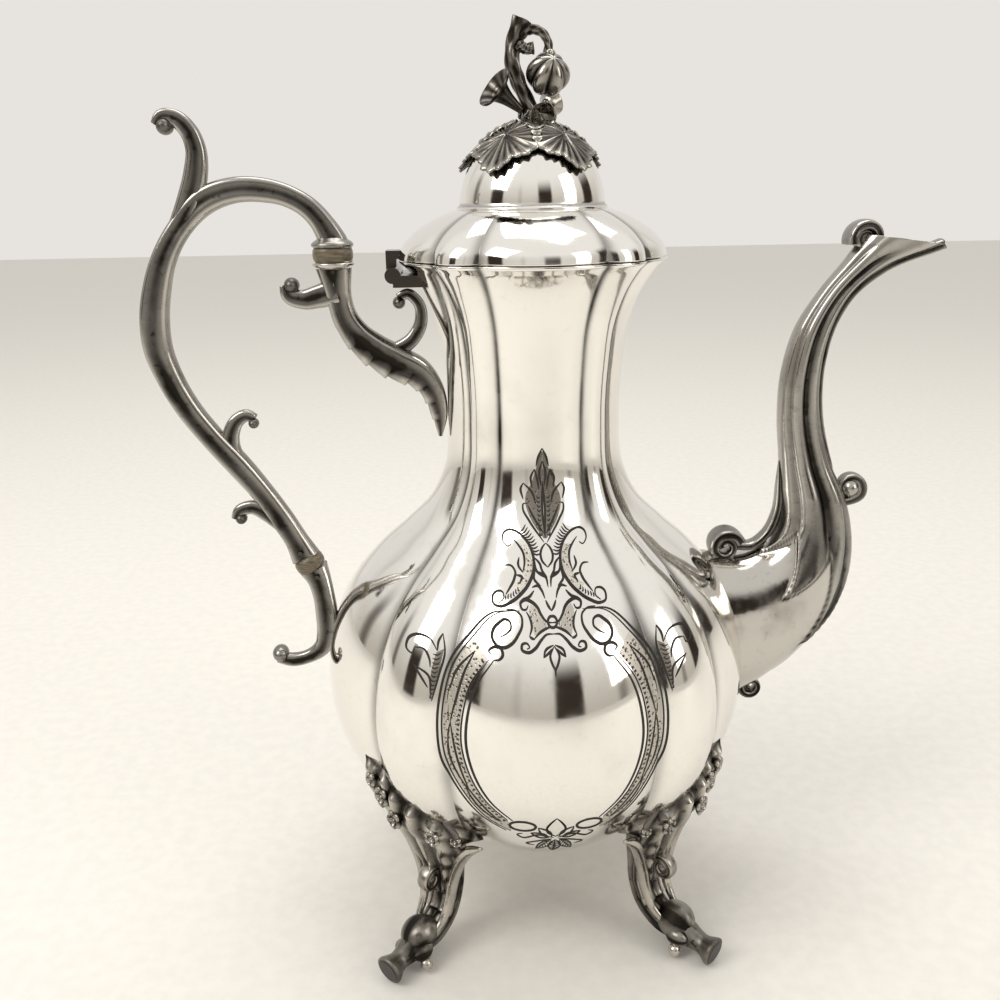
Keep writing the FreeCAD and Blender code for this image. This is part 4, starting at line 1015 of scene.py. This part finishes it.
class COFFEEPOT_OT_legs(PotBuilder, bpy.types.Operator):
    """Builds the four scroll legs with their floral wings and dark toe discs"""

    bl_idname = "coffee_pot.legs"
    bl_label = "Legs"

    def edges(self, across):
        """Heights of the plate's lower and upper edge at places across it."""
        return (np.interp(across, WING_SPAN, line) for line in (WING_LOW, WING_HIGH))

    def stand(self, across, part):
        """How far the plate stands off the body, most at its foot over the leg."""
        return 8.5 * (1 - part) ** 0.8 * np.cos(across * 1.45)

    def wing(self, clay, turn, outer):
        """The leafy plate against the body, higher towards the side lobe: scalloped edge and fluted lobes."""
        across = np.linspace(-1, 1, 90)[None, :]
        part = np.linspace(0, 1, 44)[:, None]
        low, high = self.edges(across)
        high = high + 1.5 * np.abs(np.sin(across * 8.2)) - 0.6
        height = low + (high - low) * part
        flutes = 0.5 + 0.5 * np.cos(across * 21 + 2.2 * part)
        inside = np.minimum(np.minimum(part, 1 - part) * (high - low), (1 - np.abs(across)) * WING_REACH)
        edge = np.clip(inside / 2.4, 0, 1)
        lift = -0.5 + edge ** 0.5 * (1.2 + 1.6 * flutes * part + self.stand(across, part))
        angle = turn + outer * across * WING_REACH / body_radius(height)
        # Painted highlights on the flute crests, painted shade over the rest and along the rim
        clay.grid(on_body(angle, height, lift), 0.95 - 0.8 * flutes * edge * (0.4 + part), wrap=False)

    def flower(self, clay, turn, outer, across, height, size, petals):
        """A small open flower standing on the wing."""
        angle = turn + across / body_radius(height)
        span = across * outer / WING_REACH
        low, high = self.edges(span)
        base = on_body(angle, height, 1.4 + self.stand(span, np.clip((height - low) / (high - low), 0, 1)))
        axis = (math.cos(angle) * 0.95, math.sin(angle) * 0.95, -0.05)
        petal = lambda round_: np.abs(np.cos(petals * round_ / 2))
        ruffle = lambda round_, along: 1 + 0.3 * np.clip(along * 2, 0, 1) * (petal(round_) - 0.6)
        outline = [(size * wide, high) for wide, high in FLOWER]
        outline[0] = (FLOWER_EYE, FLOWER[0][1])
        # Painted shade between the petals
        clay.turned(base, axis, outline, ruffle, sides=60, patina_and_painted_light=0.25 + 0.6 * (1 - petal(around(60))))

    def execute(self, context):
        size = context.scene.pot_sizes
        legs = (("front_right", -size.leg_turn, 1), ("front_left", size.leg_turn - math.pi, -1),
                ("back_right", size.leg_turn, -1), ("back_left", math.pi - size.leg_turn, 1))
        for side, turn, outer in legs:
            clay = Clay()
            clay.sweep(LEG, 1.35, ribbed, turn, steps=110, sides=48)
            clay.sweep(SHIELD, 1.0, fanned, turn, steps=90, sides=72)
            self.wing(clay, turn, outer)
            for across, height, petal, count in FLOWERS:
                self.flower(clay, turn, outer, outer * across, height, petal, count)
            for shift in (-6.2, 6.2):
                clay.sweep(curl(53.5, 41.5, 4.6, 150, -1.5, 3.0), 1.2, channelled, turn, shift, 60, 24)
                clay.sweep(TENDRIL, 1.0, channelled, turn, shift * 0.72, 40, 20)
            clay.sweep(curl(56.4, 27.4, 4.6, 180, -1.45, 3.0), 1.9, channelled, turn, 0, 60, 24)
            radial = np.array([math.cos(turn), math.sin(turn), 0])
            aside = np.array([-math.sin(turn), math.cos(turn), 0]) * outer
            place = lambda points: points @ np.stack([radial, aside, [0, 0, 1]])
            for line in (INNER_RIB, OUTER_RIB):
                clay.tube(line, place, patina_and_painted_light=0.2)
            clay.ball(radial * 62.4 + [0, 0, 9.6], 6.2, radial + [0, 0, -0.2], 1.05, 3, 0.16, patina_and_painted_light=0.55)
            clay.ball(radial * 65.4 - aside * 3.6 + [0, 0, 7], 3.4, radial, 1.2, 4, 0.14, patina_and_painted_light=0.5)
            clay.ball(radial * 66 - aside * 6 + [0, 0, 3.4], 2.1, patina_and_painted_light=0.05)
            clay.ball(radial * 66 + aside * 5 + [0, 0, 4.4], 2.3, patina_and_painted_light=0.4)
            tilt = radial * math.cos(TOE_TILT) - [0, 0, math.sin(TOE_TILT)]
            hub = radial * TOE_OUT + [0, 0, TOE_RISE]
            clay.turned(hub, tilt, TOE, patina_and_painted_light=0.72)
            clay.make("leg_" + side, "dark_silver", "pot", "cast_silver", ["foot_" + side])
            disc = Clay()
            disc.turned(hub, tilt, TOE_DISC)
            disc.make("toe_disc_" + side, "black_pad", "pot", "dark_pad", ["toe_pad_" + side])
        return {"FINISHED"}


class COFFEEPOT_OT_fittings(PotBuilder, bpy.types.Operator):
    """Gives the hinge, bezel, rivets and finial fixing their finish"""

    bl_idname = "coffee_pot.fittings"
    bl_label = "Fittings"

    def execute(self, context):
        for name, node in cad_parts.items():
            if node.hide_render:
                continue
            finish = "mirror_silver" if name.startswith("lid_") else "brass_fixing"
            finish = "hinge_silver" if name.startswith("hinge_") or name.endswith("rivet") else finish
            if not node.data.materials:
                node.data.materials.append(finish_of(finish))
            for i in range(len(node.data.materials)):
                node.data.materials[i] = finish_of(finish)
        return {"FINISHED"}


class COFFEEPOT_OT_stage(PotBuilder, bpy.types.Operator):
    """Sets the pale floor, the soft studio light and the camera"""

    bl_idname = "coffee_pot.stage"
    bl_label = "Stage"

    def lamp(self, name, place, size, power, colour):
        """A soft window of light turned to the pot."""
        lamp = bpy.data.lights.new(name, "AREA")
        lamp.shape, lamp.size, lamp.size_y = "RECTANGLE", size[0], size[1]
        lamp.energy, lamp.color = power, colour
        made = bpy.data.objects.new(name, lamp)
        made.location = place
        made.rotation_euler = (Vector(LAMP_AIM) - Vector(place)).to_track_quat("-Z", "Y").to_euler()
        bpy.context.scene.collection.objects.link(made)

    def floor(self, scene):
        """A wide pale floor."""
        mesh = bpy.data.meshes.new("floor")
        corners = [(x * FLOOR_REACH, y * FLOOR_REACH, 0) for x, y in ((-1, -1), (1, -1), (1, 1), (-1, 1))]
        mesh.from_pydata(corners, [], [(0, 1, 2, 3)])
        mesh.materials.append(finish_of("pale_floor"))
        floor = bpy.data.objects.new("floor", mesh)
        scene.collection.objects.link(floor)

    def room(self, scene):
        """A dim room with dark upright bands, and a pale backdrop behind the pot."""
        world = bpy.data.worlds.new("studio")
        world.use_nodes = True
        scene.world = world
        wire = Wire(world.node_tree)
        way = wire.node("TexCoord", output="Generated")
        east, north, rise = (wire.node("SeparateXYZ", values={0: way}, output=i) for i in range(3))
        swing = wire.maths("ARCTAN2", north, east)
        ripple = wire.maths("SINE", swing * 9.0 + 0.6, 0) + 0.8 * wire.maths("SINE", swing * 5.0 + 2.0, 0)
        bands = ripple.ramp(0.0, 0.7) * (1 - rise.ramp(0.3, 0.62))
        room = rise.ramp(-0.1, 0.7).mix(ROOM_LOW, ROOM_HIGH)
        room = bands.mix(room, ROOM_BAND)
        seen = north.ramp(0.35, 0.75).mix(room, BACKDROP)
        wire.feed(world.node_tree.nodes["Background"].inputs["Color"], seen)

    def camera(self, scene):
        """The camera, with its slight roll."""
        camera = bpy.data.cameras.new("camera")
        camera.sensor_width, camera.lens = CAMERA_SENSOR, CAMERA_LENS
        ahead = Vector(CAMERA_AHEAD).normalized()
        right = ahead.cross(Vector((0, 0, 1))).normalized()
        up = right.cross(ahead)
        cosine, sine = math.cos(CAMERA_ROLL), math.sin(CAMERA_ROLL)
        right, up = right * cosine + up * sine, up * cosine - right * sine
        eye = bpy.data.objects.new("camera", camera)
        eye.matrix_world = Matrix((right, up, -ahead)).transposed().to_4x4()
        eye.location = CAMERA_PLACE
        scene.collection.objects.link(eye)
        scene.camera = eye

    def execute(self, context):
        scene = context.scene
        self.floor(scene)
        for lamp in LAMPS:
            self.lamp(*lamp)
        self.room(scene)
        self.camera(scene)
        scene.view_settings.view_transform = "Standard"
        return {"FINISHED"}


PIECES = (COFFEEPOT_OT_body, COFFEEPOT_OT_engraving, COFFEEPOT_OT_lid, COFFEEPOT_OT_finial,
          COFFEEPOT_OT_handle, COFFEEPOT_OT_spout, COFFEEPOT_OT_legs, COFFEEPOT_OT_fittings,
          COFFEEPOT_OT_stage)


class COFFEEPOT_PT_panel(bpy.types.Panel):
    """Lists the builders, sizes and colours"""

    bl_idname = "COFFEEPOT_PT_panel"
    bl_label = "Coffee Pot"
    bl_space_type = "VIEW_3D"
    bl_region_type = "UI"
    bl_category = "Coffee Pot"

    def draw(self, context):
        for group in (context.scene.pot_sizes, context.scene.pot_colours):
            for key in group.__annotations__:
                self.layout.prop(group, key)
        for piece in PIECES:
            self.layout.operator(piece.bl_idname)


CLASSES = (PotSizes, PotColours) + PIECES + (COFFEEPOT_PT_panel,)


def register():
    for item in CLASSES:
        bpy.utils.register_class(item)
    bpy.types.Scene.pot_sizes = bpy.props.PointerProperty(type=PotSizes)
    bpy.types.Scene.pot_colours = bpy.props.PointerProperty(type=PotColours)


def unregister():
    del bpy.types.Scene.pot_colours
    del bpy.types.Scene.pot_sizes
    for item in reversed(CLASSES):
        bpy.utils.unregister_class(item)


def main():
    register()
    for piece in PIECES:
        group, name = piece.bl_idname.split(".")
        getattr(getattr(bpy.ops, group), name)()


if __name__ == "__main__":
    main()
